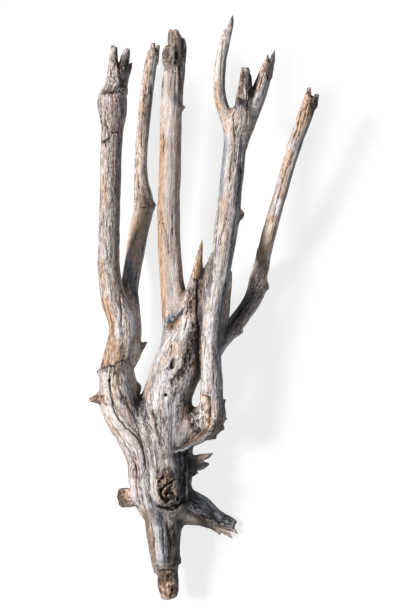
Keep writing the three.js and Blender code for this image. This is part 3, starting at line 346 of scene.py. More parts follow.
class Limb:
    def __init__(self, name, row):
        self.name = name
        self.parent, self.end, self.melt, self.jag, self.back, stations = row
        s = spline(stations, 7.0)
        self.c, self.a, self.b = s[:, :3], s[:, 3], s[:, 4]
        e = np.diff(self.c, axis=0)
        self.len = np.maximum(np.linalg.norm(e, axis=1), 1e-6)
        self.e = e / self.len[:, None]
        self.s0 = np.concatenate([[0], np.cumsum(self.len)])
        flat = np.array([0.0, 0.0, 1.0])
        te = -self.e if self.back else self.e
        side = np.cross(te, flat)
        weak = np.linalg.norm(side, axis=1) < 0.3
        side[weak] = (1.0, 0, 0)
        side -= (side * te).sum(1)[:, None] * te
        self.side = side / np.linalg.norm(side, axis=1)[:, None]
        self.up = np.cross(self.side, te)
        self.base = np.zeros(3)   # the grain space at the root, set from the parent
        self.seed = sum(ord(ch) * (i + 1) for i, ch in enumerate(name)) % 97

    def box(self, pad):
        r = np.maximum(self.a, self.b)[:, None] + pad
        return (self.c - r).min(0), (self.c + r).max(0)

    def nearest(self, p, first=0, last=None):
        """For points p: how far outside the limb they are, and their place in its own straightened space."""
        last = len(self.len) if last is None else last
        best = np.full(len(p), 1e9, np.float32)
        place_ = np.zeros((len(p), 3), np.float32)
        rad = np.zeros(len(p), np.float32)
        p = p.astype(np.float32)
        for i in range(first, last):
            c, e, L = self.c[i].astype(np.float32), self.e[i].astype(np.float32), np.float32(self.len[i])
            q = p - c
            t = np.clip(q @ e, 0, L)
            over = q @ e - t
            q = q - t[:, None] * e
            w = t / L
            a = self.a[i] * (1 - w) + self.a[i + 1] * w
            b = self.b[i] * (1 - w) + self.b[i + 1] * w
            if i < len(self.len) - 1:
                sd = self.side[i] * (1 - w[:, None]) + self.side[i + 1] * w[:, None]
                ud = self.up[i] * (1 - w[:, None]) + self.up[i + 1] * w[:, None]
                qs, qu = (q * sd).sum(1), (q * ud).sum(1)
            else:
                qs, qu = q @ self.side[i], q @ self.up[i]
            small = np.minimum(a, b)
            d = (np.sqrt((qs / a) ** 2 + (qu / b) ** 2 + (over / small) ** 2) - 1) * np.sqrt(a * b)
            hit = d < best
            best = np.where(hit, d, best)
            s = (self.s0[i] + t + over).astype(np.float32)
            place_[hit] = np.stack([qs, s, qu], 1)[hit]
            rad = np.where(hit, a, rad)
        return best, place_, rad

    def to_grain(self, local):
        g = local.copy()
        if self.back:
            g[:, 1] = -g[:, 1]
        return g + self.base

    def field(self, x, y, z):
        """The limb's own field on the box of grid lines x, y, z."""
        shape = (len(x), len(y), len(z))
        out = np.full(shape, 1e3, np.float32)
        n = len(self.len)
        for i in range(0, n, 2):
            j = min(i + 2, n)
            r = max(self.a[i:j + 1].max(), self.b[i:j + 1].max()) + self.melt + 2
            lo, hi = self.c[i:j + 1].min(0) - r, self.c[i:j + 1].max(0) + r
            ix = [slice(np.searchsorted(g, lo[k]), np.searchsorted(g, hi[k])) for k, g in enumerate((x, y, z))]
            if any(s.stop <= s.start for s in ix):
                continue
            gx, gy, gz = np.meshgrid(x[ix[0]], y[ix[1]], z[ix[2]], indexing="ij")
            pts = np.stack([gx.ravel(), gy.ravel(), gz.ravel()], 1).astype(np.float32)
            d, _, _ = self.nearest(pts, i, j)
            sub = out[tuple(ix)]
            np.minimum(sub, d.reshape(gx.shape), out=sub)
        if self.end == "cut":
            tip, e = self.c[-1], self.e[-1]
            r = max(self.a[-1], self.b[-1]) * 2.6 + 8
            lo, hi = tip - r, tip + r
            ix = [slice(np.searchsorted(g, lo[k]), np.searchsorted(g, hi[k])) for k, g in enumerate((x, y, z))]
            gx, gy, gz = np.meshgrid(x[ix[0]], y[ix[1]], z[ix[2]], indexing="ij")
            pts = np.stack([gx.ravel(), gy.ravel(), gz.ravel()], 1) - tip
            along = pts @ e
            qs, qu = pts @ self.side[-1], pts @ self.up[-1]
            rag = self.jag * (0.9 * N1(qs / 5.0 + self.seed, qu / 5.0, qs * 0 + 0.5) + 0.8 * N2(qs / 2.6, qu / 2.6 + self.seed, qs * 0))
            cut = (along - rag).reshape(gx.shape).astype(np.float32)
            sub = out[tuple(ix)]
            near = (np.abs(along).reshape(gx.shape) < r)
            sub[near] = np.maximum(sub[near], cut[near])
        return out


limbs = [Limb(name, row) for name, row in LIMBS.items()]
by_name = {limb.name: limb for limb in limbs}
# ---------------------------------------------------------------- how the grain flows down the trunk
# Each line is one fibre, drawn at the grid heights FLOW_V; FLOW_G is its place across the grain, in mm.
FLOW_V = [320, 335, 350, 365, 380, 390, 403, 415, 428, 438, 448, 460, 470, 485, 500, 515, 530, 545, 560, 575]
FLOW_U = [
    [109, 108.5, 105, 101, 100, 100, 100, 104, 109, 116, 122, 127, 128.5, 128.5, 133, 144.5, 147.5, 149.5, 152, 157],
    [116, 115, 112, 110.5, 109.5, 110, 112.3, 117, 125.5, 134, 139, 142.6, 144.6, 146.3, 148.6, 151.5, 154.5, 156, 158, 160.5],
    [127, 127, 122, 120, 121, 123, 127, 132, 138, 142, 145.6, 148, 149.6, 151, 152.8, 156, 158.4, 160, 161, 162.5],
    [139, 138, 135, 133.5, 135.5, 139, 141.5, 145, 148.5, 151.5, 153.4, 154.4, 155, 155.6, 157.4, 160.4, 161.8, 163, 164, 164.5],
    [166, 165, 158, 154, 149.5, 145.5, 145, 148, 151, 153.8, 155.4, 156.4, 157, 157.6, 159.8, 162.4, 163.6, 165, 166, 166],
    [172, 171, 167, 163, 159.5, 157.5, 156.5, 157.5, 159, 160.5, 161.6, 162.4, 163, 164.4, 166, 167.2, 168, 168, 168.5, 168.5],
    [182, 181, 177, 174, 171, 169.5, 168, 168, 168.2, 168.6, 169.2, 169.8, 170.4, 171.4, 172, 172, 172, 171.6, 171.4, 170.5],
    [197, 197, 197, 196, 193, 190, 189, 187.5, 185.5, 183, 181, 179.6, 178.8, 178.6, 178.4, 177, 176, 175.2, 174.2, 172.5],
    [203, 202, 202, 202, 201, 200, 198.5, 197, 194, 191, 188, 186, 185, 184.6, 183.4, 180, 178, 177, 176, 174.5],
    [222, 221, 221, 222, 223, 223.5, 224.5, 225, 220, 210, 200, 195, 193.4, 192.4, 187, 182, 180, 179, 178, 176.5],
]
FLOW_G = [176, 198, 214, 228, 231, 242, 257, 281, 293, 318]


def flow_grain(P):
    """Place along, across and through the trunk's own grain for points P."""
    u, v = seen_at(P)
    vv = np.clip(v, FLOW_V[0], FLOW_V[-1])
    lines = np.stack([np.interp(vv, FLOW_V, row) for row in FLOW_U], 1)
    k = np.clip((u[:, None] > lines).sum(1) - 1, 0, len(FLOW_G) - 2)
    r = np.arange(len(u))
    a, b = lines[r, k], lines[r, k + 1]
    t = (u - a) / np.maximum(b - a, 0.5)
    g = np.array(FLOW_G, float)
    return np.stack([g[k] + t * (g[k + 1] - g[k]), -v * UNIT, P[:, 2] * 0.9], 1)


FLOWING = {"trunk": (0, 1), "strand_left": (338, 362), "stem_mid": (322, 345), "stem_left_edge": (0, 1), "web": (395, 405), "mid_fill": (330, 350),
           "limb_4": (396, 418), "burl_rim": (0, 1), "burl": (0, 1)}
for limb in limbs:   # the grain of each limb starts where its parent's has got to, or runs on from the trunk's own
    if FLOWING.get(limb.name, (0, 1))[0] > 0:
        at = np.abs(seen_at(limb.c)[1] - sum(FLOWING[limb.name]) / 2).argmin()
        limb.base = flow_grain(limb.c[at:at + 1])[0] - np.array([0, limb.s0[at], 0])
    elif limb.parent:
        par = by_name[limb.parent]
        _, loc, _ = par.nearest(limb.c[:1])
        limb.base = par.to_grain(loc)[0]

# ---------------------------------------------------------------- the volume
lo = np.array(CAD_LO) * 1000 - 9
hi = np.array(CAD_HI) * 1000 + 9
lo[2] = -4 * GRID + 0.37 * GRID
X, Y, Z = (np.arange(lo[k], hi[k], GRID).astype(np.float32) for k in range(3))
FAR = np.float32(25)
D = np.full((len(X), len(Y), len(Z)), FAR, np.float32)


def window(b_lo, b_hi):
    return tuple(slice(max(0, np.searchsorted(g, b_lo[k])), np.searchsorted(g, b_hi[k])) for k, g in enumerate((X, Y, Z)))


for limb in limbs:
    w = window(*limb.box(limb.melt + 2))
    d = limb.field(X[w[0]], Y[w[1]], Z[w[2]])
    D[w] = blend_min(D[w], np.minimum(d, FAR), limb.melt)
print("volume", round(time.time() - T0, 1))


def near_cells(w, band=8.0):
    """The cells of a window that lie near the surface: their index and their points."""
    idx = np.argwhere(np.abs(D[w]) < band)
    idx += np.array([s.start for s in w])
    return idx, np.stack([X[idx[:, 0]], Y[idx[:, 1]], Z[idx[:, 2]]], 1)


def cells(b_lo, b_hi):
    """The cells of a box: their slices and the lines through them."""
    w = window(b_lo, b_hi)
    return w, np.meshgrid(X[w[0]], Y[w[1]], Z[w[2]], indexing="ij")


def top_at(u, v, guess=80.0):
    """The highest point of the wood that is seen at grid place u, v."""
    p = place(u, v, guess)
    for _ in range(3):
        i, j = np.searchsorted(X, p[0]), np.searchsorted(Y, p[1])
        k = np.flatnonzero(D[i, j] < 0)
        if len(k) == 0:
            return p
        p = place(u, v, float(Z[k[-1]]))
    return p


def bore(u, v, radius, depth, lean=(0.0, 0.0), squash=1.0):
    """Cuts a hole of the given radius and depth in mm from above."""
    p = top_at(u, v)
    w, (gx, gy, gz) = cells(p - (radius + 6 + depth, radius + 6 + depth, depth + 6), p + (radius + 6 + depth, radius + 6 + depth, 10))
    down = p[2] - gz
    rx, ry = gx - p[0] - lean[0] * down, (gy - p[1] - lean[1] * down) * squash
    d = radius - np.hypot(rx, ry) + 0.5 * N2(gx / 3.1, gy / 3.1, gz / 4.0)
    D[w] = blend_max(D[w], np.minimum(d, (depth - down).astype(np.float32)), 0.8)


# the sideways fall of the trunk to the right of the burl: a step down to rough, shaded strands
w, (gx, gy, gz) = cells(place(166, 512, 20), place(200, 432, 130))
k_ = UNIT * (EYE - (gz - REF_Z)) / EYE
gu, gv = (gx - SHIFT_X) / k_ + MID_U, MID_V - (gy - SHIFT_Y) / k_
line = np.interp(gv, [432, 448, 462, 478, 492, 503, 512], [178, 174.5, 176, 178.5, 179, 176, 172])
line = line + 1.4 * N1(gx / 10, gy / 8, gz / 30) + 0.8 * N2(gx / 4, gy / 4, gz / 30)
floor_z = np.interp(gu, [172, 178, 184, 190, 196], [78, 73, 65, 57, 47]) + 90 * smoothstep(452, 434, gv) + 60 * smoothstep(498, 512, gv)
floor_z = floor_z + 6.5 * N2(gu / 2.3, gv / 15, gz * 0) + 3.2 * N3(gu / 1.2, gv / 7, gz * 0) + 3 * N4(gu / 5, gv / 6, gz * 0)
cut = np.minimum((gu - line) * 1.5, gz - floor_z).astype(np.float32)
D[w] = blend_max(D[w], cut, 3)
for name in ("hook", "stub_r1", "stub_r2", "stub_r3"):   # these stand clear of it
    limb = by_name[name]
    w = window(*limb.box(limb.melt + 2))
    D[w] = blend_min(D[w], np.minimum(limb.field(X[w[0]], Y[w[1]], Z[w[2]]), FAR), 2.5)

# a hollow under the burl
w, (gx, gy, gz) = cells(place(146, 522, 40), place(186, 494, 120))
k_ = UNIT * (EYE - (gz - REF_Z)) / EYE
gu, gv = (gx - SHIFT_X) / k_ + MID_U, MID_V - (gy - SHIFT_Y) / k_
mid = np.interp(gu, [152, 158, 164, 170, 178, 184], [503.5, 506, 507.5, 508, 506, 500])
wide = np.interp(gu, [152, 158, 166, 176, 184], [0.1, 0.5, 1.5, 2.8, 2.3]) + 1.5 * N1(gu / 4, gv / 4, gz * 0) + 0.8 * N2(gu / 2.2, gv / 2.2, gz * 0)
sag = (wide - np.abs(gv - mid)) * 1.5
low = gz - np.interp(gu, [148, 156, 166, 180], [88, 83, 75, 64]) - 3 * N3(gu / 3, gv / 3, gz * 0)
D[w] = blend_max(D[w], np.minimum(sag, low).astype(np.float32), 3.5)

# the sawn knob: cut aslant and rough
tip = place(127.6, 497.5, 28)
w, (gx, gy, gz) = cells(place(108, 515, -4), place(134, 480, 45))
rag = 1.1 * N1(gy / 4.5, gz / 4.5, gx * 0) + 0.9 * N2(gy / 2.3, gz / 2.3, gx * 0)
cut = -0.80 * (gx - tip[0]) + 0.60 * (gz - tip[2]) + rag
D[w] = blend_max(D[w], cut.astype(np.float32), 2.4)

# the burl's broken face: sunk to the right, with long slanting clefts
w, (gx, gy, gz) = cells(place(150, 508, 78), place(186, 468, 118))
k_ = UNIT * (EYE - (gz - REF_Z)) / EYE
gu, gv = (gx - SHIFT_X) / k_ + MID_U, MID_V - (gy - SHIFT_Y) / k_
face = 108.0 - 0.35 * (gu - 160) + 2.6 * N1(gu / 3.4, gv / 3.4, gz * 0) + 1.8 * N2(gu / 1.9, gv / 1.9, gz * 0)
CLEFTS = [([(158.2, 484.5), (161.2, 479.5), (165.6, 472.2)], 1.15, 9), ([(160.8, 490.5), (165, 486.6), (170, 483.2), (175.8, 479)], 1.0, 9),
          ([(161.2, 488.5), (160.8, 494), (163.5, 499)], 1.1, 8), ([(165.8, 494.8), (169.5, 491.8), (173.5, 493.5)], 1.3, 9),
          ([(166.5, 500.5), (171.5, 498.2), (176, 497.5)], 1.9, 11), ([(171.5, 474.5), (174.8, 477.5)], 1.1, 6), ([(168, 489.5), (172.8, 485.5)], 0.9, 7)]
for pts, wid, deep_ in CLEFTS:
    best = np.full(gu.shape, 9.0)
    for (ua, va), (ub, vb) in zip(pts[:-1], pts[1:]):
        t = np.clip(((gu - ua) * (ub - ua) + (gv - va) * (vb - va)) / ((ub - ua) ** 2 + (vb - va) ** 2), 0, 1)
        best = np.minimum(best, np.hypot(gu - ua - t * (ub - ua), gv - va - t * (vb - va)))
    face = face - deep_ * (1 - smoothstep(wid * 0.55, wid * 1.45, best + 0.35 * N3(gu / 1.6, gv / 1.6, gz * 0)))
inside = smoothstep(1.16, 0.98, np.hypot((gu - 167.4) / 11.2, (gv - 487.6) / 16.0))
cut = (gz - face) - 30 * (1 - inside)
D[w] = blend_max(D[w], cut.astype(np.float32), 0.9)

# the hollow end of the right-hand limb
arm = by_name["limb_5"]
tip, e = arm.c[-1], arm.e[-1]
w, (gx, gy, gz) = cells(tip - 24, tip + 16)
q = np.stack([gx - tip[0], gy - tip[1], gz - tip[2]], -1)
t = q @ e
off = np.linalg.norm(q - t[..., None] * e, axis=-1)
D[w] = blend_max(D[w], np.minimum(5.4 - off, t + 15).astype(np.float32), 1.0)
hole = place(312.4, 95.2, 103)
D[w] = blend_max(D[w], np.minimum(3.5 - np.hypot(gx - hole[0], gy - hole[1]), gz - 88).astype(np.float32), 0.8)

# the cavity behind the knot of the middle limb
bore(176.4, 56, 3.0, 2.6, squash=0.45)
bore(175.6, 62.5, 2.2, 3)

# round holes that beetles left, and the pits of the stump
bore(166.0, 395.0, 2.9, 15, lean=(0.1, 0.15))
bore(109.2, 380.6, 1.7, 8)
bore(106.2, 404.4, 1.6, 4)
bore(168.2, 576.6, 2.1, 8, squash=0.6)
bore(172.2, 590.0, 3.0, 7)
bore(161.0, 583.0, 1.6, 4, squash=0.5)

# an old scar, and the loose end of a knot beside it
for su, sv in ((174.0, 361.6), (173.2, 363.6), (172.2, 366)):
    bore(su, sv, 3.2, 1.3)
bore(168.8, 369.0, 1.5, 1.6)

# knots and swellings that no two limbs share
whole = (slice(0, len(X)), slice(0, len(Y)), slice(0, len(Z)))
idx, P = near_cells(whole, 3.0)
i0, i1, i2 = idx.T
bump = 1.1 * N1.fbm(P[:, 0] / 26, P[:, 1] / 60, P[:, 2] / 26, 2) + 0.5 * N2(P[:, 0] / 9, P[:, 1] / 22, P[:, 2] / 9)
D[i0, i1, i2] += bump.astype(np.float32)
print("lumps", round(time.time() - T0, 1))


# ---------------------------------------------------------------- surface nets
def surface_nets(D):
    nx, ny, nz = D.shape
    inside = D < 0
    pts, cubes, flips = [], [], []
    for axis in range(3):
        a = [slice(None)] * 3
        b = [slice(None)] * 3
        a[axis], b[axis] = slice(0, -1), slice(1, None)
        cross = inside[tuple(a)] != inside[tuple(b)]
        # the outermost lines have no cubes on both sides
        for other in range(3):
            if other != axis:
                edge = [slice(None)] * 3
                edge[other] = 0
                cross[tuple(edge)] = False
                edge[other] = -1
                cross[tuple(edge)] = False
        e = np.argwhere(cross)
        d0 = D[tuple(e.T)]
        e1 = e.copy(); e1[:, axis] += 1
        d1 = D[tuple(e1.T)]
        t = d0 / (d0 - d1)
        p = e.astype(np.float32)
        p[:, axis] += t
        o1, o2 = (axis + 1) % 3, (axis + 2) % 3
        quad = []
        for s1, s2 in ((0, 0), (-1, 0), (-1, -1), (0, -1)):
            c = e.copy(); c[:, o1] += s1; c[:, o2] += s2
            quad.append((c[:, 0] * ny + c[:, 1]) * nz + c[:, 2])
        pts.append(p); cubes.append(np.stack(quad, 1)); flips.append(d0 > 0)
    p, c, f = np.vstack(pts), np.vstack(cubes), np.concatenate(flips)
    ids, inv = np.unique(c.ravel(), return_inverse=True)
    inv = inv.reshape(-1)
    n = np.bincount(inv)
    verts = np.stack([np.bincount(inv, weights=np.repeat(p[:, k], 4)) / n for k in range(3)], 1)
    quads = inv.reshape(-1, 4)
    quads[f] = quads[f][:, ::-1]
    return verts, quads


V, Q = surface_nets(D)
V = V * GRID + np.array([X[0], Y[0], Z[0]])
print("net", len(V), len(Q), round(time.time() - T0, 1))


# keep the one body and drop loose crumbs
def largest_part(V, Q):
    label = np.arange(len(V))
    e = np.vstack([Q[:, [0, 1]], Q[:, [1, 2]], Q[:, [2, 3]], Q[:, [3, 0]]])
    while True:
        before = label.copy()
        m = np.minimum(label[e[:, 0]], label[e[:, 1]])
        np.minimum.at(label, e[:, 0], m)
        np.minimum.at(label, e[:, 1], m)
        label = label[label]
        if (label == before).all():
            break
    big = np.bincount(label).argmax()
    keep = label == big
    new = np.cumsum(keep) - 1
    return V[keep], new[Q[keep[Q[:, 0]]]]


print('before parts', round(time.time() - T0, 1))
V, Q = largest_part(V, Q)
print('parts', round(time.time() - T0, 1))


def sample(field, P):
    """Trilinear look-up of a grid field at points P."""
    g = (P - np.array([X[0], Y[0], Z[0]])) / GRID
    g = np.clip(g, 0, np.array(field.shape) - 1.001)
    i = np.floor(g).astype(int)
    f = g - i
    out = 0
    for dx in (0, 1):
        for dy in (0, 1):
            for dz in (0, 1):
                w = (f[:, 0] if dx else 1 - f[:, 0]) * (f[:, 1] if dy else 1 - f[:, 1]) * (f[:, 2] if dz else 1 - f[:, 2])
                out = out + w * field[i[:, 0] + dx, i[:, 1] + dy, i[:, 2] + dz]
    return out


def slope(P, h=1.2):
    g = np.stack([sample(D, P + np.eye(3)[k] * h) - sample(D, P - np.eye(3)[k] * h) for k in range(3)], 1)
    return g / np.maximum(np.linalg.norm(g, axis=1), 1e-6)[:, None]


NRM = slope(V)
for _ in range(2):   # settle the points on the surface
    V = V - NRM * np.clip(sample(D, V), -1, 1)[:, None] * 0.6
NRM = slope(V)
print("settled", round(time.time() - T0, 1))

# ---------------------------------------------------------------- grain space
near = np.full(len(V), 1e9, np.float32)
dist, loc = [], []
TAU = 7.0
for limb in limbs:
    b_lo, b_hi = limb.box(TAU + 9)
    m = np.flatnonzero(((V > b_lo) & (V < b_hi)).all(1))
    d, l, r = limb.nearest(V[m])
    g = limb.to_grain(l)
    if limb.name in FLOWING:   # these share the trunk's own grain once they have joined it
        v0, v1 = FLOWING[limb.name]
        turn = smoothstep(v0, v1, seen_at(V[m])[1])[:, None]
        g = g * (1 - turn) + flow_grain(V[m]) * turn
    dist.append((m, d)); loc.append(g)
    near[m] = np.minimum(near[m], d)
wsum = np.zeros(len(V)); G = np.zeros((len(V), 3)); who = np.zeros(len(V), int); wbest = np.zeros(len(V))
for k, ((m, d), g) in enumerate(zip(dist, loc)):
    w = np.clip(1 - (d - near[m]) / TAU, 0, 1) ** 2 + 1e-9
    wsum[m] += w
    G[m] += g * w[:, None]
    better = w > wbest[m]
    who[m[better]] = k
    wbest[m[better]] = w[better]
G /= wsum[:, None]
print("grain", round(time.time() - T0, 1))

# ---------------------------------------------------------------- carve the grain
U_, V_ = seen_at(V)
# ---------------------------------------------------------------- features drawn on the wood
# All are placed on the drawing grid. Widths are half widths in grid steps, except those of the cracks, which are in mm.
CRACKS = [  # half width in mm, points
    (0.85, [(109.8, 364.5), (109.6, 372), (109.2, 380), (110, 388), (111, 397), (112.5, 405), (115, 413), (119, 420), (124.4, 425.4), (130, 431),
            (135.6, 435.6), (138.8, 440), (141.6, 446), (143.8, 453), (145, 462), (144.8, 471), (145.2, 480)]),
    (0.75, [(97.5, 370), (103.5, 367.5), (107, 366.6), (109.6, 364.6), (111.5, 366.4), (116.4, 367.2), (117, 361.6), (121, 360.6), (127.6, 361.4)]),
    (1.05, [(100.6, 142.6), (104, 141.8), (106.4, 139.6), (110.4, 137.4)]),
    (0.95, [(110.6, 131.2), (114.6, 132.8), (119.6, 132.6)]),
    (0.45, [(120.6, 296), (121.6, 310), (121, 322), (122.8, 338)]),
    (0.45, [(106, 302), (110.4, 316), (111.4, 330)]),
    (0.50, [(134, 414), (136.4, 424.6), (138.4, 432), (141.4, 440), (143.6, 448)]),
    (0.45, [(140.4, 411), (143.6, 420), (145.2, 431), (149, 444), (150.4, 456)]),
    (0.55, [(151.6, 411), (154.8, 420), (155.8, 428), (158.8, 437), (160, 446)]),
    (0.40, [(162.6, 414), (163.8, 424), (163.6, 436), (165.4, 448)]),
    (0.45, [(131.4, 452), (134.6, 461), (136.2, 472), (135.2, 486), (137.4, 498), (143, 508)]),
    (0.40, [(138.2, 462), (139.6, 476), (139, 488), (142, 500), (147, 511)]),
    (0.50, [(148.4, 470), (149, 484), (149.6, 496), (153, 506)]),
    (0.40, [(129.6, 484), (130.2, 496), (131, 503)]),
    (0.60, [(200.2, 394.2), (202.4, 395.2), (206, 396.4), (210.2, 398), (210.6, 404), (210.2, 412), (209.8, 420), (208.6, 426), (204.4, 431.6)]),
    (0.50, [(206, 398.5), (206.6, 403.5)]),
    (0.50, [(178.6, 448), (180, 458), (179.6, 470), (181, 484), (180, 498)]),
    (0.50, [(186, 452), (187.6, 466), (186.4, 480)]),
    (0.60, [(200, 496), (212, 508), (226, 517), (233.4, 521.6)]),
    (0.60, [(196, 505), (208, 514), (222, 520.6)]),
    (0.40, [(206, 504.6), (218, 513), (229, 519)]),
    (0.50, [(192, 500), (197, 510), (204, 519)]),
    (0.35, [(150.4, 520), (152.4, 536), (153.6, 552)]),
    (0.50, [(170.2, 530), (171.6, 545), (171, 560), (168.6, 568)]),
    (0.40, [(174.6, 527), (175.6, 542), (175, 556)]),
    (0.60, [(158.4, 571.4), (163, 570.4), (168, 570.8), (174.6, 570.2)]),
    (0.45, [(163.6, 574), (162.6, 582), (164.2, 590)]),
    (0.45, [(171.6, 573), (172.4, 582)]),
    (0.60, [(106.6, 91.4), (110.4, 92.8), (114, 91), (118, 92.2), (122.6, 91)]),
    (0.55, [(121.2, 74), (122, 82), (121, 90)]),
    (0.50, [(118.6, 60), (119.6, 70), (121.6, 78)]),
    (0.45, [(114.4, 77), (114.2, 84)]),
    (0.40, [(105, 108), (105.8, 126), (105, 150)]),
    (0.35, [(112.6, 150), (113.6, 178), (112.4, 206)]),
    (0.35, [(106.6, 214), (106, 240), (108.4, 262)]),
    (0.50, [(144.6, 88), (143.2, 108), (141.8, 132), (140.6, 160)]),
    (0.40, [(148, 70), (146.4, 92)]),
    (0.40, [(137.6, 150), (137.8, 178), (139.6, 196)]),
    (0.35, [(136.4, 206), (142, 207.6), (149, 206.4), (153.4, 205.2)]),
    (0.45, [(138.8, 214), (136.4, 232), (132.4, 250)]),
    (0.35, [(179.4, 62), (180, 78), (179.2, 92)]),
    (0.22, [(163.6, 132), (163.4, 158)]),
    (0.35, [(172.6, 200), (173.4, 236), (175.6, 268)]),
    (0.60, [(164.8, 322.4), (168, 323.6), (172, 321.4), (177, 317.6), (182.6, 310)]),
    (0.65, [(198.2, 284), (197.6, 300), (197.4, 314), (199.4, 330)]),
    (0.60, [(193.8, 280), (197, 279), (199.8, 281.4)]),
    (0.50, [(187.6, 300), (187, 318), (184.6, 332)]),
    (0.55, [(176.6, 377.2), (181.4, 374.4), (186, 370.6), (187.6, 365)]),
    (0.55, [(171.4, 378.6), (170.6, 382), (168.8, 384.6)]),
    (0.45, [(171.4, 344), (171.6, 352), (168.6, 358.6)]),
    (0.60, [(237.6, 98.4), (243, 101.6), (248.6, 99.8)]),
    (0.45, [(243.6, 72), (242.6, 88)]),
    (0.60, [(250.8, 89), (248.8, 100), (247, 112)]),
    (0.40, [(233, 122), (234.4, 140), (231.6, 160), (229.4, 186)]),
    (0.40, [(239, 128), (237.4, 148), (236, 168)]),
    (0.35, [(265.6, 62), (262.4, 78), (257.6, 96)]),
    (0.35, [(270.4, 64), (267, 80), (262, 98)]),
    (0.50, [(231.2, 108), (234, 104.6), (236.6, 110)]),
    (0.40, [(222.6, 36), (221.6, 58), (220.8, 82)]),
    (0.45, [(204.8, 334), (205.2, 346), (204, 356)]),
    (0.35, [(214, 250), (211.6, 280), (209.4, 306)]),
    (0.35, [(219, 236), (216, 262), (213.4, 290)]),
    (0.40, [(213.6, 340), (214.4, 366), (213.4, 390)]),
    (0.45, [(294, 148), (284, 178), (276, 206), (270, 230)]),
    (0.40, [(303, 104), (297.6, 124), (291, 146)]),
    (0.50, [(247, 300), (238, 314), (229.6, 326)]),
    (0.45, [(161.8, 514), (163.4, 538), (164.8, 566)]), (0.40, [(153.2, 528), (155.2, 556)]), (0.60, [(167.2, 520), (168.6, 545), (169.4, 566)]), (0.55, [(173.8, 524), (173.6, 560)]), (0.35, [(158, 516), (160.6, 544)]),
    (0.45, [(124.6, 58), (122.6, 72), (120.4, 86)]), (0.40, [(127.6, 60), (126.4, 76)]), (0.40, [(112, 52), (111.6, 70), (108.6, 86)]), (0.35, [(115, 56), (115.6, 72)]), (0.40, [(149, 60), (146.8, 84), (144, 120)]), (0.35, [(152.6, 66), (150, 96)]),
    (0.40, [(306, 110), (298, 136), (288, 168)]), (0.40, [(303, 104), (296, 126)]), (0.35, [(263.6, 72), (257.6, 92)]), (0.35, [(247, 82), (246.6, 100)]), (0.35, [(240.4, 80), (239.6, 98)]),
]
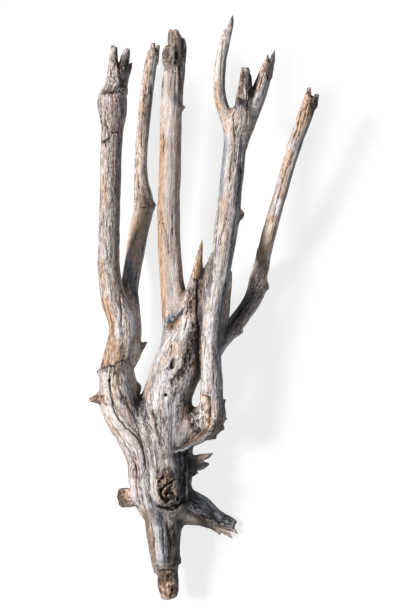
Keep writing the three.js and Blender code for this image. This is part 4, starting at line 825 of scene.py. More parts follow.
DARK_AND_SHADE_STROKES = [  # half width, strength, points; dark wood, knots and cracks, and in places painted shade and cast shadow
    (4.2, .50, [(121, 398), (128, 403), (136, 407), (143, 415)]), (3.5, .55, [(139, 393), (141.6, 403), (146, 412)]), (2.2, .5, [(131, 388), (137, 391)]),
    (1.5, .6, [(151.4, 411), (154.4, 419), (155.8, 428), (158.8, 437)]), (1.6, .45, [(134, 415), (137.6, 428), (141, 440)]),
    # painted shade: the first stroke darkens the shaded right side of the trunk
    (3.4, .45, [(180, 388), (185, 394), (188, 402)]), (2.6, .8, [(193, 380), (190.4, 390), (190.8, 400), (193, 407)]), (1.8, .5, [(186, 404), (182, 409), (176, 414)]),
    (2.4, .70, [(197, 325), (195.6, 339), (191.6, 351), (187.6, 361), (184.4, 369), (178, 376), (171.6, 381)]), (2.4, .85, [(199.6, 318), (199, 340), (199, 360), (198, 376)]),
    (3.2, .8, [(197.6, 371), (194, 379)]), (2.4, .6, [(192.6, 346), (186.4, 352)]), (2.0, .6, [(197, 358), (193, 364)]),
    (2.0, .7, [(173.6, 360), (171.4, 366.4)]), (1.0, .6, [(169, 368.4), (168.8, 369.4)]),
    (3.6, .75, [(193, 426), (197, 431), (203, 431)]), (2.4, .6, [(192, 410.6), (195.4, 413)]), (1.1, .6, [(198.4, 417), (199.2, 425)]),
    (1.6, .75, [(208, 430), (200, 436.6), (190, 443), (180, 448)]),
    (3.0, .75, [(222, 392), (220.6, 408), (219.6, 420), (216.4, 427)]), (1.8, .6, [(221, 429), (213, 436.6), (207, 438)]),
    (2.6, .8, [(196, 447), (188, 451), (180, 455), (174, 457)]), (2.6, .55, [(172, 456), (175, 464), (177, 474)]),
    (2.6, .9, [(179.4, 470), (180.4, 484), (180, 498)]), (1.8, .85, [(180, 453), (181, 466)]), (1.4, .7, [(188, 458), (188.4, 470)]), (3.4, .8, [(192, 462), (196, 468), (192, 472)]),
    # painted shadow: the second and third strokes darken the recess to the right of and under the burl
    (2.2, .7, [(186, 478), (190, 488)]), (3.0, .9, [(182, 502), (187, 503.6), (191.4, 498), (191.6, 489)]), (1.8, .6, [(150, 499.4), (156, 505)]),
    (2.8, .95, [(190, 468), (198, 466), (206, 464)]), (1.4, .6, [(209, 456.2), (212, 454)]),
    (2.6, .55, [(160, 513), (164, 521), (169, 530)]), (2.0, .5, [(171, 515), (175, 524)]),
    (3.4, .72, [(178.6, 524), (177.6, 540), (176.6, 556)]), (1.6, .5, [(171, 530), (172, 545), (171.4, 560)]), (2.2, .85, [(178.6, 560), (174, 565), (170, 567)]),
    (2.0, .62, [(145.4, 514), (148.2, 530), (150, 546), (153.6, 560)]),
    (7.0, .28, [(198, 500), (208, 509), (219, 515.6), (230, 521)]), (3.0, .6, [(192, 492), (198, 502)]), (2.2, .7, [(188, 512), (198, 517.6), (206, 521)]),
    (2.0, .7, [(198.6, 522), (206, 523.6)]),
    (4.6, .80, [(117.6, 493), (120, 500), (125, 503.6)]), (2.4, .75, [(121.6, 498), (123.6, 502)]), (1.6, .6, [(128, 505), (138, 506.4)]),
    (1.5, .95, [(168, 575), (168, 579.6)]), (2.2, .95, [(172, 588), (172, 591.6)]), (1.6, .65, [(160, 591), (168, 596), (175.6, 593)]), (1.4, .7, [(176.8, 576), (177.2, 590)]),
    (1.0, .8, [(158.6, 571.2), (166, 570.6), (175, 570.2)]), (1.2, .6, [(160.6, 580), (161.6, 586)]),
    (1.4, .6, [(106.4, 91.4), (113, 92.4), (122, 91.4)]), (1.5, .85, [(121.6, 74), (123, 84), (122, 93)]), (2.2, .75, [(121, 97), (122, 112)]), (1.4, .9, [(115.8, 46), (116.6, 56), (117.8, 66)]),
    (2.0, .6, [(121, 56), (119.6, 68), (121, 76)]), (1.8, .7, [(127.6, 52), (127, 66), (124.6, 84)]), (1.4, .9, [(131, 62.6), (129, 72)]), (1.6, .5, [(110, 90), (108, 94)]),
    (1.6, .7, [(158, 46), (157, 54)]), (1.6, .6, [(149.8, 94), (148.8, 112), (147.6, 140)]),
    (2.2, .9, [(176, 48), (177.6, 60), (175.4, 64)]), (1.7, .7, [(182.6, 40), (182.6, 52), (180.8, 70), (180.4, 92)]), (3.0, .7, [(177, 98), (179, 103)]), (1.0, .8, [(162.6, 75), (162.4, 88)]),
    (1.6, .8, [(174, 322), (179, 318), (183, 310)]), (1.4, .7, [(168.6, 325), (174, 328)]),
    (1.8, .85, [(198.4, 284), (198, 300), (197, 312)]), (1.6, .75, [(194, 281.4), (198, 280.4)]), (2.2, .5, [(193, 288), (194.6, 300)]), (1.4, .6, [(190, 304), (195, 312)]),
    (2.6, .8, [(249.4, 76), (249, 88), (250.8, 96)]), (3.0, .8, [(239, 103), (245, 104.6)]), (1.8, .8, [(250.6, 90), (255, 84), (259, 76)]), (1.2, .7, [(232, 17.6), (233, 26)]),
    (1.6, .6, [(231.6, 272), (229.4, 280)]), (1.6, .5, [(226.6, 288), (226, 304), (224.4, 320)]), (3.2, .9, [(224, 326), (222.6, 336), (222, 344)]),
    (2.2, .95, [(311.4, 93.4), (313.4, 95.4)]), (1.8, .7, [(316, 101), (312, 114)]),
    # painted shadow: limb_4's shadow on the lower part of limb_5
    (4.6, .45, [(256, 292), (246, 306), (236, 320), (227, 331)]),
    (1.4, .6, [(101, 396.6), (101.6, 397)]), (1.0, .8, [(106.2, 404.4), (106.4, 404.8)]), (1.6, .5, [(93, 402), (99, 403.6)]), (1.4, .5, [(98.4, 371.4), (103, 371)]),
    (1.5, .55, [(116, 372), (118, 380), (116, 385)]), (2.4, .5, [(124, 363), (125, 371), (122, 378)]), (1.8, .6, [(130.6, 341), (130.4, 352), (127.4, 362)]), (1.5, .6, [(137, 384), (139.4, 390)]),
    (1.5, .6, [(240.6, 214.6), (243, 214)]), (1.4, .5, [(265, 287), (267, 287.6)]), (1.5, .6, [(153.4, 205.4), (155, 204.4)]),
    (1.2, .5, [(147, 345), (144, 347)]), (1.8, .6, [(150.6, 414), (149, 404)]), (1.5, .5, [(153.6, 376), (152, 386), (149, 392)]),
    (5.0, .34, [(115.4, 108), (115, 160), (114, 210), (113.4, 262)]), (3.4, .40, [(160, 366), (155, 384), (151, 400)]), (3.0, .40, [(122, 345), (122.6, 360), (120, 372)]), (2.0, .60, [(172.6, 528), (173, 545), (172.6, 560)]),
    (2.6, .60, [(197.4, 332), (193, 346), (188, 358), (184, 368)]), (2.2, .70, [(197, 290), (196.6, 312)]), (1.5, .75, [(213.4, 252), (211, 270), (208.6, 296)]), (2.2, .80, [(224.6, 404), (222.4, 416)]), (1.3, .8, [(173.4, 361), (172.2, 366.6)]),
    # painted shadow: the last two strokes, on the lower part of limb_5 where limb_4 shades it
    (1.4, .55, [(163.4, 391), (163, 398)]), (4.0, .30, [(131, 393), (139, 402)]), (1.6, .65, [(213, 428), (222, 426)]), (2.0, .50, [(262, 268), (258, 280)]), (2.6, .45, [(248, 300), (238, 316)]),
    (2.4, .55, [(173.8, 361), (172, 367)]), (1.3, .9, [(168.8, 368.4), (168.6, 369.6)]), (0.9, 1.0, [(179, 452), (179.4, 468), (178.6, 484)]), (0.9, 1.0, [(184.6, 454), (185.4, 470), (184.8, 486)]), (0.9, 1.0, [(189, 460), (189.4, 474), (188, 488)]),
    (1.0, 1.0, [(189, 511.4), (197, 517), (204.6, 522)]), (1.3, .9, [(176.6, 574), (177.4, 584), (176.6, 593)]), (1.3, .9, [(158, 578), (158, 586), (160.6, 592.6)]), (2.2, .75, [(121, 348), (122.6, 360), (120, 371)]), (2.4, .8, [(172.4, 530), (173, 546), (173, 558)]),
    (2.0, .9, [(175.4, 559), (178, 565)]), (1.6, .8, [(157, 566), (160, 571), (170, 569.6), (176, 571)]), (1.6, .8, [(198.6, 330), (196, 344), (191, 356), (186.4, 366), (179, 375.6)]), (1.2, .9, [(189, 338), (185, 344)]), (1.4, .8, [(192, 333), (190, 341), (185.6, 350)]),
    (2.4, .7, [(192, 425), (198, 432)]), (1.0, .9, [(143.6, 416), (146.4, 430), (150, 446)]), (0.9, .8, [(160.6, 426), (161, 446)]), (1.2, .7, [(170.4, 408), (171.6, 428), (171, 446)]),
    (3.4, .75, [(238.6, 100), (243.6, 103.6), (247, 106)]), (1.3, .8, [(233.4, 108), (236, 101)]), (3.6, .40, [(125, 56), (123, 70), (120.6, 84)]), (1.0, .9, [(123.6, 56), (122.4, 68), (120, 80)]), (1.0, .8, [(165.6, 46), (164.4, 54)]), (1.1, .9, [(171.8, 58), (170.4, 64)]),
    (0.9, .9, [(167.4, 50), (166.8, 58)]), (1.3, .8, [(313, 99), (310, 110)]), (1.0, .8, [(268.6, 62), (265, 76)]), (1.0, .8, [(271.6, 64), (268.6, 78)]), (0.9, .8, [(243.4, 68), (242.8, 84)]), (0.9, .8, [(246.6, 72), (246.6, 88)]),
    # painted shadow: these strokes darken the lower part of limb_5 where limb_4 shades it
    (6.0, .55, [(253.6, 282), (249, 296), (240, 311), (230, 326)]), (2.4, .7, [(255.6, 272), (252.6, 282)]), (1.6, .6, [(268.6, 262), (265, 274)]),
    (2.6, .9, [(180.4, 522), (179.6, 540), (179, 556)]), (1.8, .9, [(181, 548), (180.6, 562)]), (1.4, .9, [(175.8, 562), (180, 560)]), (1.4, .8, [(168.6, 530), (169.4, 546), (169, 562)]),
    (2.0, 1.0, [(192, 467), (200, 466), (206, 463)]), (2.2, .9, [(193, 474), (196, 480)]), (3.0, .45, [(214, 500), (224, 508), (232, 517)]), (2.0, .6, [(196, 496), (206, 505)]),
    # painted shadow: the second stroke, on limb_5 where limb_4 shades it
    (3.4, .75, [(227.2, 284), (226.8, 300), (225.2, 322), (223.2, 342)]), (2.4, .5, [(262, 262), (256, 272), (251, 282)]),
    # painted shadow: the first stroke, on the lower right shoulder of strand_left
    (3.4, .40, [(127, 266), (133, 284), (137.6, 300)]), (3.0, .18, [(153, 47), (148.6, 66), (144.6, 96)]),
    # painted shade: the first stroke darkens the right edge of fork_2's lower part
    (3.0, .50, [(149.4, 214), (146, 236), (141.4, 256), (137.6, 270)]), (8.0, .18, [(107, 104), (106.6, 160), (107, 250), (112, 292)]), (7.0, .08, [(171, 80), (171, 240)]),
    (2.8, .8, [(178, 524), (177.2, 542), (177, 558)]), (2.0, .6, [(172.6, 526), (172, 545), (171, 560)]), (1.6, .7, [(224.6, 292), (224.8, 312), (223.8, 336)]),
    (0.8, .85, [(163.2, 47.6), (162.2, 51), (162.8, 54.8)]), (0.8, .9, [(165.6, 48.6), (164.9, 51.6), (165.6, 55)]), (0.7, .85, [(168, 48.4), (167.7, 52), (168.5, 56)]), (0.7, .8, [(163.8, 57), (166.2, 58.8), (168.8, 58.4)]), (0.8, .8, [(166.8, 45.4), (169.6, 46)]),
    (0.8, .75, [(169.2, 33), (169.4, 38), (168.8, 44)]), (0.8, .75, [(172, 33), (172.4, 38), (171.8, 43)]), (0.9, .8, [(175, 36), (176, 41), (174.6, 46)]),
    # painted shadow: the first stroke darkens the wood under the burl
    (5.0, .30, [(160, 511), (171, 513), (182, 508)]), (0.9, .8, [(161.8, 52), (163.4, 57.6)]), (0.9, .7, [(164.6, 61), (169.6, 62)]),
]
WARM = [
    (4.2, .80, [(105, 300), (109, 314), (110.4, 330), (108, 345), (105, 362)]), (4.5, .65, [(113, 342), (117, 350), (116, 362)]), (4.0, .5, [(122, 340), (123, 356)]), (2.6, .5, [(118, 366), (113, 376)]),
    (3.0, .45, [(101, 262), (102.6, 286)]), (2.0, .7, [(114, 164), (114.4, 167)]), (2.4, .4, [(104, 176), (103, 206)]), (2.5, .4, [(107, 116), (112, 128)]), (3.0, .4, [(110, 52), (112, 70)]),
    (3.6, .6, [(92.6, 398.4), (101, 398.6)]), (3.0, .35, [(108, 418), (118, 434)]),
    (7.0, .34, [(153, 50), (146, 95), (141, 140), (140, 185), (144, 205), (139, 225)]), (2.0, .5, [(152, 46), (148.6, 66)]),
    (3.6, .85, [(162.4, 140), (161.2, 170), (159.8, 200), (159.8, 240), (161.4, 270), (163, 300), (164, 316)]), (3.0, .4, [(165, 215), (166, 262)]),
    (4.2, .85, [(172.6, 32), (175, 41)]), (4.6, .60, [(167, 49), (167, 60)]), (2.4, .45, [(179.4, 130), (179.4, 180)]), (2.2, .45, [(181, 220), (183, 262)]), (2.0, .4, [(170, 72), (171, 92)]),
    (2.2, .9, [(168, 327), (173, 325.6), (178, 320)]), (3.2, 1.0, [(202, 240), (199.4, 262), (196.4, 277)]), (2.4, .55, [(210.6, 257), (206.6, 272), (203, 284)]), (2.6, .5, [(191, 300), (189, 318)]), (2.2, .5, [(193, 318), (196, 330)]),
    (3.4, .55, [(242, 76), (239, 93)]), (3.6, .55, [(266, 62), (258, 88)]), (2.2, .7, [(216.6, 82), (215.8, 98), (219, 110)]),  (3.0, .45, [(238, 118), (230, 112)]),
    (2.6, .7, [(204, 397), (208, 399), (207, 408)]), (1.6, 1.0, [(210.4, 412), (208.8, 426), (203, 432.6), (192, 441.6), (182, 447.4)]), (2.8, .7, [(185, 411), (190, 406), (196, 404)]), (4.0, .45, [(184, 418), (188, 428)]),
    (3.6, .6, [(180, 342), (177, 352)]), (2.6, .5, [(193, 366), (197, 370)]), (1.8, .6, [(171.4, 362), (172, 366)]), (1.8, .6, [(172.6, 342), (170.6, 356)]), (2.0, .45, [(151, 378), (147, 392)]), (3.0, .35, [(160, 436), (161, 450)]),
    (4.2, .75, [(309, 94), (305.6, 108), (300, 126)]), (1.5, .95, [(293.6, 136), (294.6, 138)]), (2.4, .55, [(291, 150), (283, 176)]), (3.4, .6, [(272, 222), (266, 244), (262, 262)]), (1.6, .7, [(284, 182), (280, 196)]),
    (7.0, .60, [(165.4, 480), (167, 488), (168.6, 496)]), (2.8, .55, [(155, 478), (156.6, 492), (160, 503)]), (3.0, .45, [(160, 466), (155, 472)]),
    (2.4, .5, [(196, 457.6), (208, 456)]), (3.0, .55, [(192, 515), (206, 523)]), (3.0, .45, [(214, 527), (228, 531)]), (6.0, .72, [(122, 492), (124, 500)]),
    (2.4, .65, [(145, 512), (148.4, 530), (150.6, 548), (154, 562)]), (10.0, .62, [(167, 576), (167.4, 590)]), (3.0, .35, [(134, 470), (137, 490)]), (2.4, .4, [(150, 508), (153, 520)]),
    (2.4, .6, [(198, 457), (208, 455)]), (3.0, .5, [(182, 260), (182.6, 300)]),
    (3.4, .5, [(184, 516.6), (196, 520.6)]), (2.6, .6, [(198, 457), (210, 454)]),
]
# lighter wood, and in places painted light on wood that lies in shade
PALE_AND_LIGHT_STROKES = [
    (3.4, .6, [(113, 77), (113.6, 86)]), (3.6, .5, [(104, 97.6), (110, 101)]), (2.6, .5, [(112, 50), (111, 66)]), (2.4, .35, [(102, 116), (102.6, 136)]), (3.0, .3, [(104, 226), (103.6, 256)]),
    (3.2, .65, [(131, 314), (133, 332)]), (2.8, .6, [(118, 318), (118.4, 338)]), (3.0, .6, [(137, 345), (134, 352)]), (2.4, .5, [(130, 266), (134, 284)]), (2.6, .45, [(120, 386), (130, 392)]), (2.0, .5, [(107, 390), (106, 397)]),
    (6.0, .45, [(169, 104), (170.6, 134)]), (2.6, .45, [(166, 150), (167, 196)]), (3.6, .4, [(174, 262), (175.6, 300)]), (3.0, .35, [(172, 210), (173, 240)]),
    (4.6, .65, [(206.6, 322), (207.6, 350), (206.6, 386)]), (4.0, .45, [(221, 226), (217.6, 262), (211.6, 300)]), (2.4, .7, [(222, 33), (218.6, 58), (217, 80)]), (3.0, .35, [(229, 132), (227.6, 170)]), (2.0, .4, [(254, 106), (262, 84)]),
    (3.4, .6, [(110, 410), (117, 423), (126, 435)]), (2.6, .55, [(130, 438), (134.6, 450)]), (2.2, .65, [(132.4, 480), (133, 500)]), (3.2, .75, [(151, 474), (151, 490), (156, 501)]), (2.6, .55, [(162, 468), (166.4, 460)]),
    (2.6, .5, [(166, 332), (161.6, 352), (158, 372), (156, 392), (155.6, 408)]), (2.0, .65, [(147, 402), (149, 413), (152.6, 425)]), (3.4, .6, [(187, 422), (184, 437)]), (3.4, .6, [(187, 320), (182, 336)]), (3.0, .45, [(163, 376), (163, 388)]),
    (3.0, .4, [(177, 356), (176, 368)]), (2.0, .6, [(163.6, 424), (165, 450)]), (1.6, .6, [(203.6, 404), (203, 420)]), (1.8, .5, [(212.6, 404), (213, 424)]),
    # painted light: the third stroke lightens the root's lower slab, which lies in shade
    (2.8, .65, [(153.6, 530), (158, 548), (160.6, 564)]), (2.0, .5, [(149, 518), (151.6, 532)]), (3.0, .75, [(185, 517), (196, 520.6)]), (2.6, .5, [(212, 525.6), (228, 531)]), (1.4, .5, [(172.6, 516), (173, 522)]), (1.8, .45, [(170.6, 578), (170, 586)]),
    (2.4, .9, [(277.4, 208), (276.6, 214)]), (1.8, .9, [(269.4, 228), (268.4, 233)]), (1.4, .9, [(265.6, 239), (265.2, 241)]), (2.2, .4, [(292, 136), (288, 150)]), (2.4, .5, [(197, 457), (206, 455.6)]), (2.0, .5, [(262, 258), (264, 252)]),
    # painted light: the first stroke lightens the lower part of fork_2 where strand_left shades it
    (8, .55, [(141.4, 212), (136.6, 240), (131.6, 262)]), (6, .35, [(146, 80), (141, 140), (141, 190)]), (3.0, .7, [(152, 470), (151, 484), (154, 498)]), (7.0, .35, [(167, 50), (167, 62)]), (6, .35, [(165, 481), (168, 495)]),
    (4, .5, [(198, 506), (212, 516), (226, 524)]), (2.0, .8, [(166.2, 391), (169, 395), (166.2, 399), (163.4, 395)]), (2.2, .5, [(176, 366), (180, 360)]),
    # pale streaks along the shaded strands right of the burl, partly painted highlight
    (1.0, 1.0, [(181.8, 452), (182.4, 470), (181.6, 486)]), (0.9, 1.0, [(187, 455), (187.6, 470)]), (1.0, .9, [(175.6, 452), (176.2, 468)]), (.9, .9, [(191.6, 470), (191.4, 484)]), (2.0, .8, [(186, 490), (186.6, 497)]),
    # painted light: the first stroke lightens the root's lower slab, which lies in shade
    (3.4, .9, [(184.6, 517), (195, 520.6)]), (1.0, .9, [(200, 501), (214, 511.4), (230, 520)]), (0.9, .8, [(198, 508), (212, 517)]), (2.4, .7, [(156.6, 528), (158.6, 548), (160.6, 562)]), (2.0, .6, [(139, 492), (131, 494)]),
    (4.2, .6, [(167, 48), (167.4, 61)]), (3.4, .5, [(173.4, 33), (175, 42)]), (1.0, .9, [(172.4, 48), (173.4, 54), (171.6, 61)]), (1.2, .8, [(155, 474), (153.6, 486), (157, 500)]),
    # painted light: the first and last strokes lighten limb_5 near limb_4's shadow, the second lightens fork_2 where
    # strand_left shades it
    (6, .8, [(265.6, 236), (262.6, 252), (261, 262)]), (7, .8, [(136, 240), (131, 264)]), (4, .5, [(262, 270), (263, 282)]),
    # painted light: the first two strokes lighten the stub teeth and the root's lower slab, which lie in shade
    (2.4, .9, [(197, 457), (206, 455), (211, 453.6)]), (4.0, .8, [(184, 516), (196, 520), (203, 522.6)]), (1.0, .9, [(206, 500), (218, 509), (229, 517)]), (0.9, .8, [(200, 500), (214, 511.6), (228, 520)]),
    # painted light on the lower part of fork_2, where strand_left shades it
    (7, .7, [(139, 216), (135, 240), (131, 264)]),
    # painted light: the first stroke on fork_2 where strand_left shades it, the last on limb_5 near limb_4's shadow
    (8, .8, [(138, 220), (133, 244), (129, 264)]), (5.0, .8, [(165, 46), (165, 60)]), (3.6, .5, [(173, 33), (174, 44)]), (5, .6, [(267, 240), (262, 258)]),
    # painted light: the second stroke, on fork_2 where strand_left shades it
    (3.4, .9, [(164.6, 46), (164.2, 58)]), (6, .9, [(131, 236), (128, 262)]),
    # painted light: the last stroke lightens the root's lower slab, which lies in shade
    (4, .35, [(304, 106), (285, 180), (270, 232)]), (11, .25, [(177, 345), (170, 385), (168, 405)]), (6, .4, [(150, 60), (143, 110), (141, 190)]), (9, .3, [(167, 577), (167.6, 590)]), (2.6, .8, [(182, 515), (192, 519), (202, 522)]),
]
# bluish weathering, and in places painted bluish shade and cast shadow
BLUISH_AND_SHADE_STROKES = [
    # painted shadow: the first stroke, on the lower right shoulder of strand_left
    (3.4, .8, [(130, 264), (136, 285), (138.6, 308)]), (3.0, .7, [(131.4, 316), (135, 335)]), (2.4, .7, [(131, 346), (131, 372), (135.6, 384)]), (4.5, .6, [(127, 383), (133, 398)]), (2.4, .5, [(115.6, 316), (118, 338)]),
    # painted shade: the first stroke runs along fork_2's shaded right edge
    (1.8, .85, [(154.6, 60), (151.4, 90), (149, 116)]), (2.4, .55, [(127, 100), (126, 114)]), (1.6, .6, [(126, 60), (123, 80)]),
    # painted shadow and shade: the first stroke is shadow at the foot of limb_3, the next three run along limb_3's
    # shaded right edge
    (2.6, 1.0, [(165.6, 320.4), (171, 317.6), (181, 311)]), (2.2, .5, [(180, 200), (181.4, 240), (183.6, 280)]), (1.6, .7, [(185, 50), (183.4, 92)]), (1.6, .5, [(181.4, 112), (181, 160)]), (1.6, .7, [(165.4, 326), (164.6, 340), (160, 352), (156, 362)]),
    # painted shadow and shade: the first stroke is limb_3's shadow on limb_4's left side, the next two run along
    # limb_4's shaded right edge
    (2.4, 1.0, [(225.4, 138), (222.8, 166), (220.4, 196)]), (3.2, .75, [(241, 140), (238.6, 180), (236.4, 206), (233, 250), (229.6, 270)]), (3.0, .95, [(221.4, 290), (219.4, 330), (220, 384)]), (3.6, .9, [(239, 104), (246, 104)]), (2.2, .8, [(226, 48), (224, 74), (223.6, 92), (229, 103)]),
    (2.2, .7, [(272, 66), (266, 86), (258, 104), (252, 116)]), (2.4, .6, [(210, 280), (206.4, 300)]),
    # painted shade: the third stroke, on the shaded right side of the trunk
    (3.6, .75, [(170, 424), (171, 446), (174, 464)]), (4.0, .7, [(182, 446), (186, 468)]), (4.0, .7, [(176, 394), (184, 400)]), (3.0, .6, [(178, 436), (184, 442)]), (1.8, 1.0, [(196, 441.4), (186, 446.4), (176, 451)]),
    (3.0, .8, [(184, 488), (180, 500)]), (3.0, 1.0, [(154.6, 511), (160.6, 530), (164.4, 562)]), (7.0, .8, [(198, 503), (212, 512), (228, 520)]), (3.0, .5, [(186, 374), (190, 386)]), (2.4, .5, [(173, 470), (172, 468)]),
    # painted shadow and shade: the first stroke is limb_4's shadow on limb_5; the second and the last two run along the
    # shaded right edges of limb_5 and strand_left
    (3.6, .5, [(252, 296), (240, 314), (228, 330)]), (1.8, .5, [(314, 112), (300, 144), (288, 182)]), (2.4, .4, [(186, 326), (190, 336)]), (3.0, .5, [(118, 206), (117.6, 250)]), (2.0, .5, [(119, 130), (119, 180)]),
    (16, .34, [(150, 418), (150, 450)]), (13, .34, [(174, 345), (169, 390), (166, 425)]), (13, .30, [(150, 470), (152, 510)]), (14, .38, [(163, 516), (164, 562)]), (12, .22, [(232, 150), (214, 330), (212, 400)]),
    (9, .38, [(218, 250), (213, 290), (209, 330), (208, 390)]),
]
SLATE_AND_SHADE_STROKES = [  # bluish grey, bare and smooth wood, and in places painted bluish shade and cast shadow
    # painted shadow: the first stroke at the foot of limb_3, the second is limb_3's shadow on limb_4's left side
    (2.2, .95, [(166.8, 321.2), (171, 318.4), (177, 315), (181.4, 312)]), (1.7, .90, [(225.0, 139), (223.2, 160), (221.4, 180), (220, 200)]),
    # painted shade: these strokes run along limb_4's shaded right edge
    (2.4, .55, [(242, 138), (240, 160), (238, 185), (236.4, 206)]), (2.4, .50, [(234.6, 222), (232, 250), (228.4, 276)]), (2.2, .50, [(220, 300), (220.6, 340), (221, 384)]),
    (1.8, .35, [(215, 296), (214.6, 330), (215.4, 366)]), (3.2, .55, [(160.4, 514), (163.4, 530), (165.4, 548), (166.2, 564)]), (6.0, .40, [(197, 500), (208, 509), (219, 515.6), (230, 521)]),
    # painted shadow: the first stroke, on the lower right shoulder of strand_left
    (2.8, .50, [(131, 262), (136, 282), (138.4, 305)]), (3.0, .35, [(131.6, 314), (134, 332)]), (4.5, .35, [(125, 384), (131, 398)]), (6.0, .35, [(126, 394), (134, 402), (143, 410)]),
    # painted shade: the first stroke runs along fork_2's shaded right edge
    (1.5, .60, [(154.8, 60), (151.6, 90), (149, 116)]), (3.4, .80, [(177, 98), (178.2, 102.4)]), (1.7, .45, [(226, 48), (224.4, 74), (223.6, 92)]), (3.0, .75, [(239.8, 103.6), (246.4, 104)]),
    (1.3, .80, [(196, 442), (186, 447.2), (176, 451.4)]), (4.5, .30, [(172, 432), (173, 450), (176, 466)]), (3.4, .45, [(184, 486), (180, 502)]), (1.5, .65, [(165.2, 327), (163.2, 342), (157.6, 357)]),
    # painted shadow and shade: the first stroke is limb_4's shadow on limb_5, the next two run along the shaded right
    # edges of limb_5 and limb_3
    (3.2, .30, [(252, 296), (240, 314), (228, 330)]), (1.6, .40, [(314.6, 112), (300.6, 146), (288.6, 184)]), (2.2, .40, [(182.4, 250), (184, 285)]), (2.0, .35, [(207, 284), (205, 302)]),
    # painted shade: the second stroke on the shaded right side of the trunk, the last along strand_left's shaded right
    # edge
    (2.0, .40, [(168, 470), (173, 469)]), (3.0, .30, [(176, 394), (184, 401)]), (2.2, .40, [(119.6, 320), (118.4, 338)]), (2.4, .35, [(119.6, 130), (119, 190), (118, 250)]),
     (2.4, .5, [(126.6, 56), (125, 74)]),
    # painted shadow: the first stroke, on the lower right shoulder of strand_left
    (4.0, .75, [(126, 264), (132, 280), (137, 296)]), (16, .22, [(136, 430), (148, 470), (152, 500)]), (12, .22, [(170, 400), (165, 440)]), (6, .35, [(160, 515), (163, 560)]),
]
OCHRE = [  # orange-brown wood, freshly broken or stained
    (2.7, .60, [(161.0, 126), (159.6, 170), (158.8, 205), (158.8, 240), (160.2, 270), (162, 300), (163.2, 318)]), (3.2, .90, [(202, 239), (199.4, 258), (196.8, 276)]), (1.3, .85, [(208.8, 426), (203, 432.2), (192, 441), (182, 446.8)]),
    (4.4, .55, [(309.6, 94), (304.4, 112), (298, 132)]), (3.2, .55, [(272.6, 218), (267, 242), (263, 262)]), (2.6, .35, [(290, 150), (282, 180)]),
    (3.8, .55, [(104.6, 300), (109, 314), (110.4, 330), (108, 345), (104, 362)]), (3.2, .50, [(101, 366), (110, 361)]), (4.0, .35, [(114, 345), (118, 358)]), (6.6, .85, [(165.6, 482), (168.2, 494)]),
    (5.0, .60, [(120, 492), (122, 501)]), (9.5, .55, [(167, 577), (168, 590)]), (3.8, .40, [(173, 33), (175.6, 41)]), (4.6, .25, [(166.6, 49), (167.2, 61)]), (1.7, .85, [(168.4, 327), (173.4, 325.2), (178.4, 319.6)]),
    (1.9, .45, [(196, 457.6), (208, 455.6)]), (2.4, .50, [(205, 524), (214, 528.4), (229, 532.6)]), (1.4, .85, [(293.4, 136), (294.4, 138.4)]), (1.8, .55, [(114, 164), (114.4, 167)]),
    (2.8, .45, [(91.6, 399), (98.4, 398.4)]), (1.2, .55, [(208.8, 402), (208.2, 422)]), (2.2, .45, [(194.6, 410), (188, 406)]), (2.2, .40, [(191, 300), (189, 316)]), (2.0, .40, [(242.4, 76), (240, 92)]),
    (1.8, .40, [(149, 56), (145, 88), (142, 120)]), (2.0, .40, [(146, 512), (149, 530), (151, 548)]), (1.8, .45, [(206, 323), (206.4, 330)]), (2.0, .35, [(173.2, 345), (171, 356)]),
    (4, .35, [(264, 246), (261.6, 266)]), (5, .3, [(139, 222), (134, 250)]),
    (2.6, .45, [(180.6, 125), (181.6, 160), (183.4, 200), (184.2, 240)]),
    (5, .35, [(277, 212), (269, 238), (262, 262)]), (2.4, .4, [(225.4, 196), (223.6, 226), (221.6, 262)]),
    (8.0, .60, [(138, 222), (133, 245), (129, 264)]),
    (5, .4, [(268, 236), (262, 258)]),
    (3.6, .55, [(184, 516), (196, 520), (206, 523)]), (2.6, .6, [(198, 457), (208, 455)]), (2.4, .5, [(212, 527), (228, 532)]), (4.4, .30, [(166, 48), (166, 60)]),
    (4.2, .60, [(165, 46), (164.8, 60)]), (3.0, .40, [(171, 34), (174, 44)]),
]
